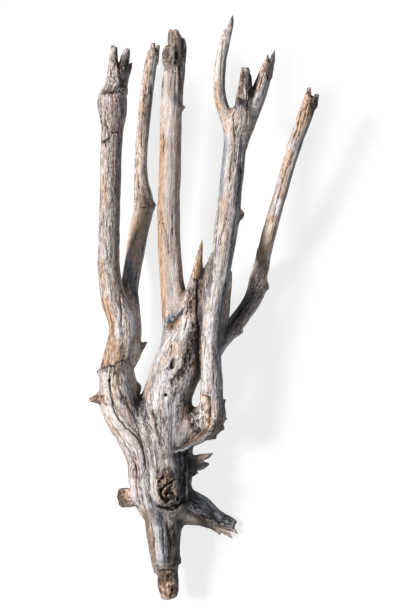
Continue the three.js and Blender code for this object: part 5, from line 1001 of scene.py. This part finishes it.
CHALK = [  # white, sun-bleached wood
    (1.6, .95, [(277.8, 207), (276.4, 214)]), (1.8, .90, [(270.8, 226), (268, 232)]), (1.4, .95, [(266.4, 239), (265.6, 242)]), (1.0, .70, [(273.4, 222), (274, 225)]), (0.9, .7, [(264, 252), (262.6, 257)]),
    (2.8, .55, [(132.2, 313), (134.2, 331)]), (2.0, .50, [(118, 316), (117.6, 337)]), (2.0, .60, [(156.6, 528), (159.6, 560)]), (2.6, .50, [(187, 421), (184.4, 435)]), (2.4, .25, [(174, 262), (175.6, 302)]),
    (3.0, .45, [(187, 320), (182, 336)]), (1.6, .25, [(222, 33), (218, 60), (216.6, 82)]), (1.8, .45, [(112, 50), (110.6, 68)]), (1.4, .55, [(147.4, 403), (150, 416)]),
    (2.4, .45, [(152, 474), (151, 488), (155, 499)]), (2.4, .40, [(110.6, 412), (119, 426)]), (2.0, .45, [(136, 346), (133.6, 351)]), (1.6, .45, [(133, 482), (133.4, 498)]), 
    (2.2, .40, [(172, 420), (173, 438)]), (2.0, .35, [(104, 97), (109, 100)]), (2.0, .4, [(139, 492), (132, 493.6)]),
    (3.6, .30, [(217.6, 258), (213, 290), (209.6, 318)]), (3.8, .35, [(208.6, 318), (207.6, 350), (206.6, 388)]), (3.4, .45, [(165.4, 47), (164.6, 56), (167, 61)]),
    (2.0, .55, [(196, 457), (207, 455.4)]), (2.0, .6, [(186, 517), (197, 521)]), (1.8, .55, [(208, 525), (218, 529), (230, 533)]),
    (2.8, 1.0, [(278.6, 201), (277, 212)]), (1.6, .7, [(271.6, 222), (270.6, 227)]), (1.5, .7, [(267.4, 231), (267, 236)]),
    (2.6, .45, [(172, 34), (173, 44)]), (2.2, .5, [(200, 456.6), (209, 454)]), (2.6, .5, [(184, 516.6), (196, 520.6)]),
    (0.8, .8, [(164.5, 47.6), (163.6, 51.4), (164.3, 55.6)]), (0.8, .75, [(170, 46.4), (170.6, 51), (170, 56), (168.4, 60.6)]), (0.7, .7, [(166.8, 48.6), (166.4, 52), (167, 55.6)]), (0.7, .6, [(170.6, 33), (171, 39), (170.2, 44)]),
]
CALM = [  # where the grain is faint
    (8, .70, [(170, 82), (169.5, 140), (168.5, 230), (172.4, 302)]), (7, .40, [(300, 130), (266, 240)]), (6, .45, [(224, 150), (222, 240), (214, 300)]), (5, .40, [(222, 50), (218, 90), (232, 140)]), (6, .35, [(141, 215), (133, 262)]),
]
CRISP = [  # where the grain stands out strongly
    (10, .95, [(194, 500), (212, 512), (232, 522)]), (7, .95, [(184, 448), (184, 500)]), (6, .60, [(197, 326), (192, 350), (184, 370)]), (9, .60, [(122, 396), (146, 412)]), (8, .70, [(165, 480), (168, 496)]), (10, .55, [(167, 577), (168, 590)]),
    (13, .35, [(150, 430), (152, 500)]), (9, .45, [(198, 405), (194, 430)]), (7, .50, [(176, 520), (176, 560)]), (7, .45, [(112, 50), (123, 60), (115, 84)]), (6, .40, [(244, 72), (243, 98)]), (5, .6, [(192, 288), (190, 316)]),
    (6, .8, [(167, 48), (167.4, 60)]), (6, .6, [(173.6, 33), (175, 42)]), (5, .5, [(266, 62), (258, 86)]), (5, .4, [(152, 50), (148, 80)]), (5, .6, [(310, 96), (304, 114)]),
]
ROUGH = [  # pitted, broken wood
    (5.5, 1.0, [(197, 326), (194, 342), (190, 354), (185, 368), (177, 377)]), (3.0, .8, [(190, 290), (192, 312)]), (5.0, .7, [(172, 384), (180, 402), (190, 404)]), (5.0, .9, [(192, 413), (198, 430)]), (3.0, .6, [(204, 405), (200, 424)]),
    (5.0, .40, [(167, 50), (167, 60)]), (4.0, .45, [(174, 34), (176, 44)]), (7.0, .5, [(113, 60), (124, 62), (114, 82)]), (3.4, .8, [(106, 92), (120, 92)]), (9.0, .8, [(165, 478), (168, 496)]), (6.5, 1.0, [(120, 492), (122, 501)]),
    (9.0, .5, [(167, 578), (168, 592)]), (4.0, .5, [(183, 492), (188, 478)]), (4.0, .7, [(104, 366), (118, 372)]), (4.0, .6, [(96, 398), (103, 401)]), (4.0, .5, [(244, 72), (243, 98)]), (5.0, .6, [(309, 96), (313, 104)]), (4.0, .6, [(218, 424), (214, 434)]),
    (6.0, .45, [(204, 522), (228, 530)]), (3.0, .5, [(170, 470), (172, 478)]), (3.0, .6, [(174, 320), (170, 328)]), (4.0, .4, [(150, 402), (136, 398)]), (3.0, .5, [(206, 262), (202, 300)]), (4.0, .5, [(152, 50), (150, 60)]),
]
DIPS = [  # half width, depth in mm (a swelling when negative), points
    (2.6, 3.2, [(140.6, 394), (144.6, 408), (149, 422), (152.6, 436)]), (1.6, 1.8, [(151.4, 411), (154.6, 420), (158.4, 436)]), (3.0, -1.6, [(147.6, 402), (149.6, 414), (153, 426)]),
    (2.4, 2.0, [(121.6, 396), (128, 404), (137, 418)]), (2.4, -1.2, [(112, 412), (121, 425), (131, 438), (136, 452)]), (1.6, 1.6, [(134, 450), (136.6, 470), (136, 490), (141, 504)]),
    (2.0, -1.4, [(131.6, 470), (132.4, 500)]), (2.0, -1.2, [(141, 468), (142, 494)]), (1.4, 1.4, [(148.6, 468), (149, 492)]), (3.4, 1.6, [(174.6, 358), (171.4, 368)]), (2.0, 1.6, [(187, 362), (178, 376)]),
    (3.0, 2.6, [(193, 426), (200, 432)]), (2.6, 2.0, [(192, 411), (196, 413)]), (2.0, 2.2, [(199, 322), (199, 350), (198, 374)]), (1.5, 1.6, [(106, 91.6), (122, 91.6)]), (1.6, 1.5, [(118.6, 62), (121, 76)]),
    (2.2, 1.6, [(161, 513), (166, 524), (170, 536)]), (2.4, -1.6, [(156, 514), (161, 534), (163.6, 560)]), (1.6, 1.4, [(170.6, 532), (171.6, 560)]), (2.4, -1.2, [(175, 530), (175.6, 554)]),
    (1.4, 2.0, [(165, 322.6), (171, 321.4), (182, 311.6)]), (3.0, -1.4, [(172, 470), (173, 468)]), (1.6, 1.8, [(198, 284), (197.6, 312)]), (1.2, 1.6, [(193.6, 280.6), (199.6, 280.6)]), (2.0, 1.6, [(188, 286), (190, 306)]),
    (1.5, 1.6, [(184, 454), (186, 474)]), (1.4, 1.8, [(189.4, 456), (190, 472)]), (2.0, 1.4, [(196, 503), (216, 516)]), (1.4, 1.2, [(204, 500), (226, 515)]), (1.6, -1.2, [(109, 98), (118, 100)]), (1.6, 1.2, [(112, 96), (113, 112)]),
    (2.2, 1.0, [(139, 208), (150, 206)]), (2.2, -1.2, [(202, 404), (202, 420)]), (1.5, 1.4, [(210, 398), (210, 422)]), (1.3, 1.2, [(232, 126), (230, 180)]), (2.0, 1.2, [(239, 103), (247, 102)]), (1.4, 1.2, [(120.6, 300), (122, 336)]),
    (2.2, 1.4, [(100, 396.4), (101.4, 397)]), (2.6, -1.0, [(105, 404), (106, 404.8)]), (1.2, .9, [(179.6, 60), (179.6, 94)]), (2.4, -1.4, [(177.6, 99), (178.6, 103)]),
]


UPPER = [(190, 492.4), (204, 501.4), (220, 511.6), (235, 520)]   # the root's two edges; its grain runs between them
LOWER = [(184, 509), (200, 516.6), (216, 522.4), (231, 526.6)]
for n_, (share, begin, stop, wide) in enumerate([(0.10, 0.05, 0.95, 0.42), (0.22, 0.20, 1.0, 0.50), (0.33, 0.0, 0.62, 0.45), (0.42, 0.30, 1.0, 0.55), (0.54, 0.08, 0.80, 0.45),
                                                 (0.63, 0.42, 1.0, 0.50), (0.74, 0.10, 0.70, 0.50), (0.84, 0.30, 1.0, 0.60), (0.93, 0.05, 0.60, 0.45)]):
    line_ = [((1 - share) * a[0] + share * b[0] + 0.5 * math.sin(3 * n_ + 2 * k_), (1 - share) * a[1] + share * b[1] + 0.5 * math.cos(2 * n_ + 3 * k_)) for k_, (a, b) in enumerate(zip(UPPER, LOWER))]
    t_ = np.linspace(begin * 3, stop * 3, 5)
    CRACKS.append((wide, [(float(np.interp(q, range(4), [p[0] for p in line_])), float(np.interp(q, range(4), [p[1] for p in line_]))) for q in t_]))
    PALE_AND_LIGHT_STROKES.append((0.9, 1.0, [(u + 0.9, v - 1.1) for u, v in CRACKS[-1][1]]))
    CHALK.append((0.9, 0.45, [(u + 1.0, v - 1.2) for u, v in CRACKS[-1][1]]))


def along_stroke(points, reach, wobble=True):
    """Vertices within reach of a drawn line: index, distance, side-signed distance and place along it from 0 to 1."""
    p = np.array(points, float)
    b_lo, b_hi = p.min(0) - reach, p.max(0) + reach
    qu, qv = (WU, WV) if wobble else (U_, V_)
    m = np.flatnonzero((qu > b_lo[0]) & (qu < b_hi[0]) & (qv > b_lo[1]) & (qv < b_hi[1]) & (FACE > 0))
    best, sign, s = np.full(len(m), 1e3), np.ones(len(m)), np.zeros(len(m))
    run = np.concatenate([[0], np.cumsum(np.hypot(*np.diff(p, axis=0).T))])
    for k in range(len(p) - 1):
        e = p[k + 1] - p[k]
        du, dv = qu[m] - p[k, 0], qv[m] - p[k, 1]
        t = np.clip((du * e[0] + dv * e[1]) / max(e @ e, 1e-6), 0, 1)
        d = np.hypot(du - t * e[0], dv - t * e[1])
        hit = d < best
        best = np.where(hit, d, best)
        sign = np.where(hit, np.sign(e[0] * dv - e[1] * du), sign)
        s = np.where(hit, run[k] + t * (run[k + 1] - run[k]), s)
    return m, best, best * sign, s / max(run[-1], 1e-6)


FACE = smoothstep(-0.30, 0.20, NRM[:, 2])
WU = U_ + 0.75 * N1(V[:, 0] / 6, V[:, 1] / 6, V[:, 2] / 6) + 0.40 * N2(V[:, 0] / 2.7, V[:, 1] / 2.7, V[:, 2] / 2.7)
WV = V_ + 0.90 * N3(V[:, 0] / 6, V[:, 1] / 6, V[:, 2] / 6) + 0.50 * N4(V[:, 0] / 2.7, V[:, 1] / 2.7, V[:, 2] / 2.7)


def painted(table, soft=0.55):
    """How strongly each vertex is covered by the strokes of a table."""
    out = np.zeros(len(V))
    for wide, strength, pts in table:
        m, d, _, _ = along_stroke(pts, wide * 1.7 + 1)
        out[m] = 1 - (1 - out[m]) * (1 - strength * (1 - smoothstep(1 - soft, 1 + soft, d / wide)) * FACE[m])
    return out


MASKS = {"dark_and_shade": painted(DARK_AND_SHADE_STROKES, 0.7), "warm": painted(WARM, 0.8), "pale_and_painted_light": painted(PALE_AND_LIGHT_STROKES, 0.8), "cool_and_shade": painted(BLUISH_AND_SHADE_STROKES, 0.7), "rough": painted(ROUGH, 0.7),
         "slate_and_shade": painted(SLATE_AND_SHADE_STROKES, 0.6), "chalk": painted(CHALK, 0.6), "ochre": painted(OCHRE, 0.7), "crisp": painted(CRISP, 0.8) - painted(CALM, 0.8)}

# the cracks: each vertex gets its signed distance from the nearest crack and that crack's half width there, in mm
seam, seam_w, seam_d = np.full(len(V), 9.0), np.zeros(len(V)), np.full(len(V), 9.0)
for wide, pts in CRACKS:
    m, d, sd, s = along_stroke(pts, 5)
    d, sd = d * UNIT, sd * UNIT
    w = wide * smoothstep(-0.02, 0.14, s) * smoothstep(1.02, 0.86, s) * smoothstep(5.0, 3.4, d) * FACE[m]
    w = w * np.clip(1 + (1.1 if wide < 0.6 else 0.45) * (N2(V[m, 0] / 9, V[m, 1] / 9, V[m, 2] / 9) - 0.15), 0.0, 1.5)
    near_ = d < seam_d[m]
    seam[m[near_]], seam_w[m[near_]], seam_d[m[near_]] = sd[near_], w[near_], d[near_]
MASKS["seam"], MASKS["seam_w"] = seam, seam_w

extra = -1.7 * (seam_w / 0.7) * np.exp(-(seam_d / 1.25) ** 2)
for wide, depth, pts in DIPS:
    m, d, _, s = along_stroke(pts, wide * 2 + 1)
    extra[m] -= depth * np.exp(-(d / wide) ** 2 * 1.2) * FACE[m] * (smoothstep(-0.05, 0.2, s) * smoothstep(1.05, 0.8, s) if len(pts) > 2 else 1)
pits = smoothstep(0.22, 0.60, N1(V[:, 0] / 3.6, V[:, 1] / 4.6, V[:, 2] / 3.6)) + 0.6 * smoothstep(0.32, 0.65, N2(V[:, 0] / 6.5, V[:, 1] / 9, V[:, 2] / 6.5))
crumbs = N3(V[:, 0] / 4.2, V[:, 1] / 5.6, V[:, 2] / 4.2)
extra -= MASKS["rough"] * (2.3 * pits - 1.1 * crumbs)
MASKS["pit"] = MASKS["rough"] * np.clip(pits, 0, 1)

gx, gy, gz = G.T
wob = 2.2 * N3(gx / 30, gy / 70, gz / 30)     # the grain wanders a little
gx, gz = gx + wob, gz + 1.8 * N4(gx / 30, gy / 70, gz / 30)
furrow = N2.fbm(gx / 5.2, gy / 95, gz / 5.2, 2)
ridge = 1 - np.abs(N3(gx / 9.0, gy / 130, gz / 9.0))
deep = smoothstep(0.86, 1.0, ridge) * smoothstep(-0.1, 0.5, N1(gx / 40, gy / 120, gz / 40))
height = 0.50 * furrow - 0.9 * deep + 0.32 * N4(gx / 3.1, gy / 34, gz / 3.1) + extra
V = V + NRM * height[:, None]
V[:, 2] = np.maximum(V[:, 2], 0.0)
print("carved", round(time.time() - T0, 1))

# ---------------------------------------------------------------- colour masks
# painted shade: how closed in each point is by the wood around it, used to darken creases, crotches and recesses
painted_occlusion = np.zeros(len(V))
for h, wgt in ((3.0, 0.5), (7.0, 0.3), (14.0, 0.2)):
    painted_occlusion += wgt * np.clip(1 - sample(D, V + NRM * h) / h, 0, 1)
ATTR = {"recess_shade": painted_occlusion, "slit": deep, **MASKS}



# ---------------------------------------------------------------- the mesh
def make_mesh(name, V, Q, attrs, vectors):
    me = bpy.data.meshes.new(name)
    tri = np.vstack([Q[:, [0, 1, 2]], Q[:, [0, 2, 3]]])
    me.vertices.add(len(V))
    me.vertices.foreach_set("co", (V / 1000).astype(np.float32).ravel())
    me.loops.add(len(tri) * 3)
    me.loops.foreach_set("vertex_index", tri.astype(np.int32).ravel())
    me.polygons.add(len(tri))
    me.polygons.foreach_set("loop_start", np.arange(0, len(tri) * 3, 3, dtype=np.int32))
    me.polygons.foreach_set("use_smooth", np.ones(len(tri), bool))
    me.update(calc_edges=True)
    me.validate()
    for k, a in attrs.items():
        me.attributes.new(k, "FLOAT", "POINT").data.foreach_set("value", a.astype(np.float32))
    for k, a in vectors.items():
        me.attributes.new(k, "FLOAT_VECTOR", "POINT").data.foreach_set("vector", (a / 1000).astype(np.float32).ravel())
    return me


mesh = make_mesh("driftwood_wood", V, Q, ATTR, {"grain": G})
wood = bpy.data.objects.new("driftwood_wood", mesh)
bpy.context.scene.collection.objects.link(wood)
print("tris before", len(mesh.polygons), round(time.time() - T0, 1))
MAX_TRIS = 198000
if len(mesh.polygons) > MAX_TRIS:
    mod = wood.modifiers.new("thin", "DECIMATE")
    mod.ratio = MAX_TRIS / len(mesh.polygons)
    bpy.context.view_layer.objects.active = wood
    with bpy.context.temp_override(object=wood, active_object=wood, selected_objects=[wood]):
        bpy.ops.object.modifier_apply(modifier="thin")
print("tris", len(wood.data.polygons), round(time.time() - T0, 1))

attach(wood, "root")
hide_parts("driftwood")

# ---------------------------------------------------------------- material
class Nodes:
    """Small helper that wires shader nodes."""

    def __init__(self, tree):
        self.t = tree
        tree.nodes.clear()

    def new(self, kind, **props):
        n = self.t.nodes.new(kind)
        for k, v in props.items():
            setattr(n, k, v)
        return n

    def put(self, socket, value):
        if hasattr(value, "is_output") or isinstance(value, bpy.types.NodeSocket):
            self.t.links.new(value, socket)
        else:
            socket.default_value = value

    def attr(self, name, vector=False):
        n = self.new("ShaderNodeAttribute", attribute_name=name)
        return n.outputs["Vector"] if vector else n.outputs["Fac"]

    def math(self, op, a, b=0.0, c=None, clamp=False):
        n = self.new("ShaderNodeMath", operation=op, use_clamp=clamp)
        self.put(n.inputs[0], a); self.put(n.inputs[1], b)
        if c is not None:
            self.put(n.inputs[2], c)
        return n.outputs[0]

    def scaled(self, vector, sx, sy, sz, shift=(0, 0, 0)):
        n = self.new("ShaderNodeMapping")
        self.put(n.inputs["Vector"], vector)
        n.inputs["Scale"].default_value = (sx, sy, sz)
        n.inputs["Location"].default_value = shift
        return n.outputs["Vector"]

    def noise(self, vector, scale=1.0, detail=3.0, rough=0.55, distort=0.0):
        n = self.new("ShaderNodeTexNoise")
        self.put(n.inputs["Vector"], vector)
        n.inputs["Scale"].default_value = scale
        n.inputs["Detail"].default_value = detail
        n.inputs["Roughness"].default_value = rough
        n.inputs["Distortion"].default_value = distort
        return n.outputs["Fac"]

    def cells(self, vector):
        n = self.new("ShaderNodeTexVoronoi", feature="F1")
        self.put(n.inputs["Vector"], vector)
        n.inputs["Scale"].default_value = 1.0
        return n.outputs["Distance"]

    def map(self, v, a, b, c=0.0, d=1.0, smooth=False):
        n = self.new("ShaderNodeMapRange", clamp=True)
        if smooth:
            n.interpolation_type = "SMOOTHSTEP"
        self.put(n.inputs["Value"], v)
        for k, x in zip(("From Min", "From Max", "To Min", "To Max"), (a, b, c, d)):
            n.inputs[k].default_value = x
        return n.outputs["Result"]

    def mix(self, fac, a, b, mode="MIX"):
        n = self.new("ShaderNodeMix", data_type="RGBA", blend_type=mode)
        self.put(n.inputs[0], fac)
        self.put(n.inputs[6], (*a, 1.0) if isinstance(a, tuple) else a)
        self.put(n.inputs[7], (*b, 1.0) if isinstance(b, tuple) else b)
        return n.outputs[2]

    def ramp(self, v, stops):
        n = self.new("ShaderNodeValToRGB")
        r = n.color_ramp
        while len(r.elements) < len(stops):
            r.elements.new(0.5)
        for e, (pos, col) in zip(r.elements, stops):
            e.position, e.color = pos, (*col, 1.0)
        self.put(n.inputs["Fac"], v)
        return n.outputs["Color"]


def wood_material():
    m = bpy.data.materials.new("weathered_driftwood")
    m.use_nodes = True
    k = Nodes(m.node_tree)
    g = k.attr("grain", vector=True)
    recess_shade, slit, rough, pit = k.attr("recess_shade"), k.attr("slit"), k.attr("rough"), k.attr("pit")
    warm, pale_and_painted_light, dark_and_shade, cool_and_shade = k.attr("warm"), k.attr("pale_and_painted_light"), k.attr("dark_and_shade"), k.attr("cool_and_shade")
    seam, seam_w = k.attr("seam"), k.attr("seam_w")
    slate_and_shade, ochre, crisp, chalk = k.attr("slate_and_shade"), k.attr("ochre"), k.attr("crisp"), k.attr("chalk")

    # noises stretched along the grain, each brought to the range 0 to 1
    fine = k.map(k.noise(k.scaled(g, 600, 80, 600), detail=2, rough=0.60), 0.34, 0.66)
    hair = k.map(k.noise(k.scaled(g, 1050, 200, 1050, (3, 1, 2)), detail=2, rough=0.60), 0.34, 0.66)
    mid = k.map(k.noise(k.scaled(g, 250, 24, 250, (5, 2, 7)), detail=3, rough=0.55), 0.34, 0.66)
    patch = k.map(k.noise(k.scaled(g, 50, 13, 50, (1, 8, 4)), detail=3, rough=0.60), 0.36, 0.64)
    hue = k.map(k.noise(k.scaled(g, 90, 22, 90, (6, 3, 9)), detail=2, rough=0.55), 0.36, 0.64)
    fleck = k.noise(k.scaled(g, 600, 190, 600, (9, 4, 6)), detail=2, rough=0.65)
    dash = k.noise(k.scaled(g, 780, 90, 780, (2, 7, 1)), detail=1, rough=0.55)

    tone = k.math("MULTIPLY", fine, 0.36)
    tone = k.math("ADD", tone, k.math("MULTIPLY", hair, 0.30))
    tone = k.math("ADD", tone, k.math("MULTIPLY", mid, 0.22))
    tone = k.math("ADD", tone, k.math("MULTIPLY", patch, 0.12))
    # stronger or fainter grain
    contrast = k.math("ADD", crisp, 1.0)
    tone = k.math("ADD", k.math("MULTIPLY", k.math("SUBTRACT", tone, 0.5), contrast), 0.5)
    # the pale strokes lighten the tone: pale wood, and painted light on wood in shade
    tone = k.math("ADD", tone, k.math("MULTIPLY", pale_and_painted_light, 0.20))
    # painted shade: darker in creases, crotches and recesses
    tone = k.math("SUBTRACT", tone, k.math("MULTIPLY", recess_shade, 0.30))
    tone = k.math("SUBTRACT", tone, k.math("MULTIPLY", rough, 0.10))
    base = k.ramp(tone, [(0.10, (0.060, 0.046, 0.040)), (0.28, (0.21, 0.165, 0.142)), (0.45, (0.44, 0.365, 0.322)),
                         (0.60, (0.65, 0.58, 0.545)), (0.84, (0.84, 0.79, 0.77))])
    # grey-blue weathering, painted bluish shade and shadow, and warm brown wood show through in patches
    coolness = k.math("ADD", k.math("MULTIPLY", cool_and_shade, k.map(mid, 0.0, 1.0, 1.0, 0.7)), k.map(hue, 0.62, 1.0, 0, 0.45), clamp=True)
    base = k.mix(coolness, base, (0.70, 0.79, 0.92), "MULTIPLY")
    warmth = k.math("ADD", k.math("MULTIPLY", warm, k.map(fine, 0.1, 0.7, 0.65, 1.0)), k.map(hue, 0.38, 0.0, 0, 0.40), clamp=True)
    base = k.mix(warmth, base, (1.00, 0.74, 0.53), "MULTIPLY")
    # orange-brown wood, and bare bluish grey wood with painted bluish shade and shadow
    brown = k.ramp(tone, [(0.12, (0.075, 0.036, 0.020)), (0.36, (0.27, 0.145, 0.078)), (0.56, (0.50, 0.31, 0.185)), (0.84, (0.76, 0.56, 0.40))])
    base = k.mix(k.math("MULTIPLY", ochre, k.map(mid, 0.0, 0.7, 0.80, 1.0)), base, brown)
    blue = k.ramp(tone, [(0.12, (0.040, 0.046, 0.060)), (0.40, (0.130, 0.152, 0.188)), (0.62, (0.275, 0.315, 0.375)), (0.88, (0.56, 0.62, 0.70))])
    base = k.mix(k.math("MULTIPLY", slate_and_shade, k.map(mid, 1.0, 0.3, 0.75, 1.0)), base, blue)
    bare = k.map(chalk, 0.0, 1.0, 1.0, 0.15)   # no flecks or slits where the wood is bleached
    base = k.mix(k.math("MULTIPLY", chalk, k.map(hair, 0.0, 0.6, 0.45, 1.0)), base, k.mix(warm, (0.74, 0.73, 0.73), (0.76, 0.63, 0.50)))
    # short dark flecks along the grain
    spots = k.math("MAXIMUM", k.map(fleck, 0.39, 0.30, 0, 1), k.map(dash, 0.36, 0.29, 0, 0.9))
    spots = k.math("MULTIPLY", k.math("MULTIPLY", spots, k.map(crisp, -0.7, 0.0, 0.35, 1.0)), bare)
    base = k.mix(k.math("MULTIPLY", spots, 0.80), base, (0.070, 0.046, 0.035))
    # dark, rotted and pitted wood, and painted shade and shadow
    deep = k.math("MULTIPLY", dark_and_shade, k.map(hair, 0.95, 0.15, 0.62, 1.0), clamp=True)
    base = k.mix(deep, base, (0.048, 0.037, 0.033))
    base = k.mix(k.math("MULTIPLY", k.math("MULTIPLY", pit, bare), k.map(fine, 1.0, 0.2, 0.35, 0.95)), base, (0.050, 0.034, 0.025))
    holes = k.math("MULTIPLY", k.map(k.cells(k.scaled(g, 300, 175, 300, (4, 4, 1))), 0.40, 0.22, 0, 1), k.map(rough, 0.25, 0.80, 0, 1))
    base = k.mix(k.math("MULTIPLY", holes, 0.92), base, (0.028, 0.019, 0.015))
    # open cracks: a line where the nearest drawn crack is nearer than its half width
    edge = k.math("ADD", k.math("SUBTRACT", seam_w, k.math("ABSOLUTE", seam)), k.map(hair, 0, 1, -0.42, 0.30))
    crack = k.math("MULTIPLY", k.map(edge, -0.30, 0.25, 0, 1), k.map(seam_w, 0.03, 0.25, 0, 1))
    natural = k.math("MULTIPLY", k.math("MULTIPLY", slit, bare), k.map(hair, 0.8, 0.2, 0.35, 1.0))
    crack = k.math("MAXIMUM", crack, k.map(natural, 0.45, 0.85, 0, 0.85))
    base = k.mix(k.math("MULTIPLY", crack, 0.93), base, (0.030, 0.021, 0.017))

    h = k.math("MULTIPLY", fine, 0.40)
    h = k.math("ADD", h, k.math("MULTIPLY", hair, 0.26))
    h = k.math("ADD", h, k.math("MULTIPLY", mid, 0.45))
    h = k.math("SUBTRACT", h, k.math("MULTIPLY", spots, 0.45))
    h = k.math("SUBTRACT", h, k.math("MULTIPLY", crack, 1.1))
    h = k.math("SUBTRACT", h, k.math("MULTIPLY", holes, 0.9))
    bump = k.new("ShaderNodeBump")
    bump.inputs["Strength"].default_value = 1.0
    bump.inputs["Distance"].default_value = 0.0013
    k.put(bump.inputs["Height"], h)

    b = k.new("ShaderNodeBsdfPrincipled")
    k.put(b.inputs["Base Color"], base)
    k.put(b.inputs["Roughness"], k.map(tone, 0.2, 0.8, 0.92, 0.62))
    b.inputs["Specular IOR Level"].default_value = 0.35
    k.put(b.inputs["Normal"], bump.outputs["Normal"])
    out = k.new("ShaderNodeOutputMaterial")
    k.put(out.inputs["Surface"], b.outputs["BSDF"])
    return m


wood.data.materials.clear()
wood.data.materials.append(wood_material())

# ---------------------------------------------------------------- stage
def plain_material(name, colour, glow):
    m = bpy.data.materials.new(name)
    m.use_nodes = True
    k = Nodes(m.node_tree)
    d = k.new("ShaderNodeBsdfPrincipled")
    d.inputs["Base Color"].default_value = (*colour, 1)
    d.inputs["Roughness"].default_value = 0.9
    d.inputs["Specular IOR Level"].default_value = 0.0
    d.inputs["Emission Color"].default_value = (1, 1, 1, 1)
    d.inputs["Emission Strength"].default_value = glow
    out = k.new("ShaderNodeOutputMaterial")
    k.put(out.inputs["Surface"], d.outputs["BSDF"])
    return m


bpy.ops.mesh.primitive_plane_add(size=60, location=(0, 0, 0))
floor = bpy.context.object
floor.name = "floor"
floor.data.materials.append(plain_material("pale_floor", (0.22, 0.22, 0.22), 0.80))

bpy.ops.mesh.primitive_uv_sphere_add(segments=64, ring_count=32, radius=25, location=(0, 0, 0))
backdrop = bpy.context.object
backdrop.name = "backdrop"
backdrop.data.materials.append(plain_material("pale_backdrop", (0, 0, 0), 0.90))
for o in (floor, backdrop):   # they are seen, and leave the light to the lamps
    o.visible_diffuse = False
    o.visible_glossy = False
    o.visible_shadow = False

world = bpy.data.worlds.new("studio")
bpy.context.scene.world = world
world.use_nodes = True
bg = world.node_tree.nodes["Background"]
bg.inputs["Color"].default_value = (0.80, 0.90, 1.0, 1)
bg.inputs["Strength"].default_value = 0.20


def sun(name, towards, energy, angle, colour=(1, 1, 1)):
    """A lamp whose light comes from the direction towards."""
    data = bpy.data.lights.new(name, "SUN")
    data.energy, data.angle, data.color = energy, math.radians(angle), colour
    o = bpy.data.objects.new(name, data)
    o.rotation_mode = "QUATERNION"
    o.rotation_quaternion = Vector(towards).to_track_quat("Z", "Y")
    bpy.context.scene.collection.objects.link(o)
    return o


sun("key", (-0.73, 0.14, 0.67), 5.3, 16, (1.0, 0.965, 0.93))
sun("fill", (0.8, -0.2, 0.55), 0.12, 60, (0.80, 0.90, 1.0))
sun("bounce", (0.74, -0.38, -0.55), 1.15, 45, (1.0, 0.98, 0.95))   # light that a pale floor throws up

cam_data = bpy.data.cameras.new("camera")
cam_data.sensor_width = 36
cam_data.lens = 36 * EYE / (612 * UNIT)
cam = bpy.data.objects.new("camera", cam_data)
cam.location = (SHIFT_X / 1000, SHIFT_Y / 1000, (REF_Z + EYE) / 1000)
cam.rotation_euler = (0, 0, 0)
cam_data.clip_start, cam_data.clip_end = 0.05, 200
bpy.context.scene.collection.objects.link(cam)
bpy.context.scene.camera = cam
bpy.context.scene.view_settings.view_transform = "Standard"

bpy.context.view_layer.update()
print("done", round(time.time() - T0, 1))
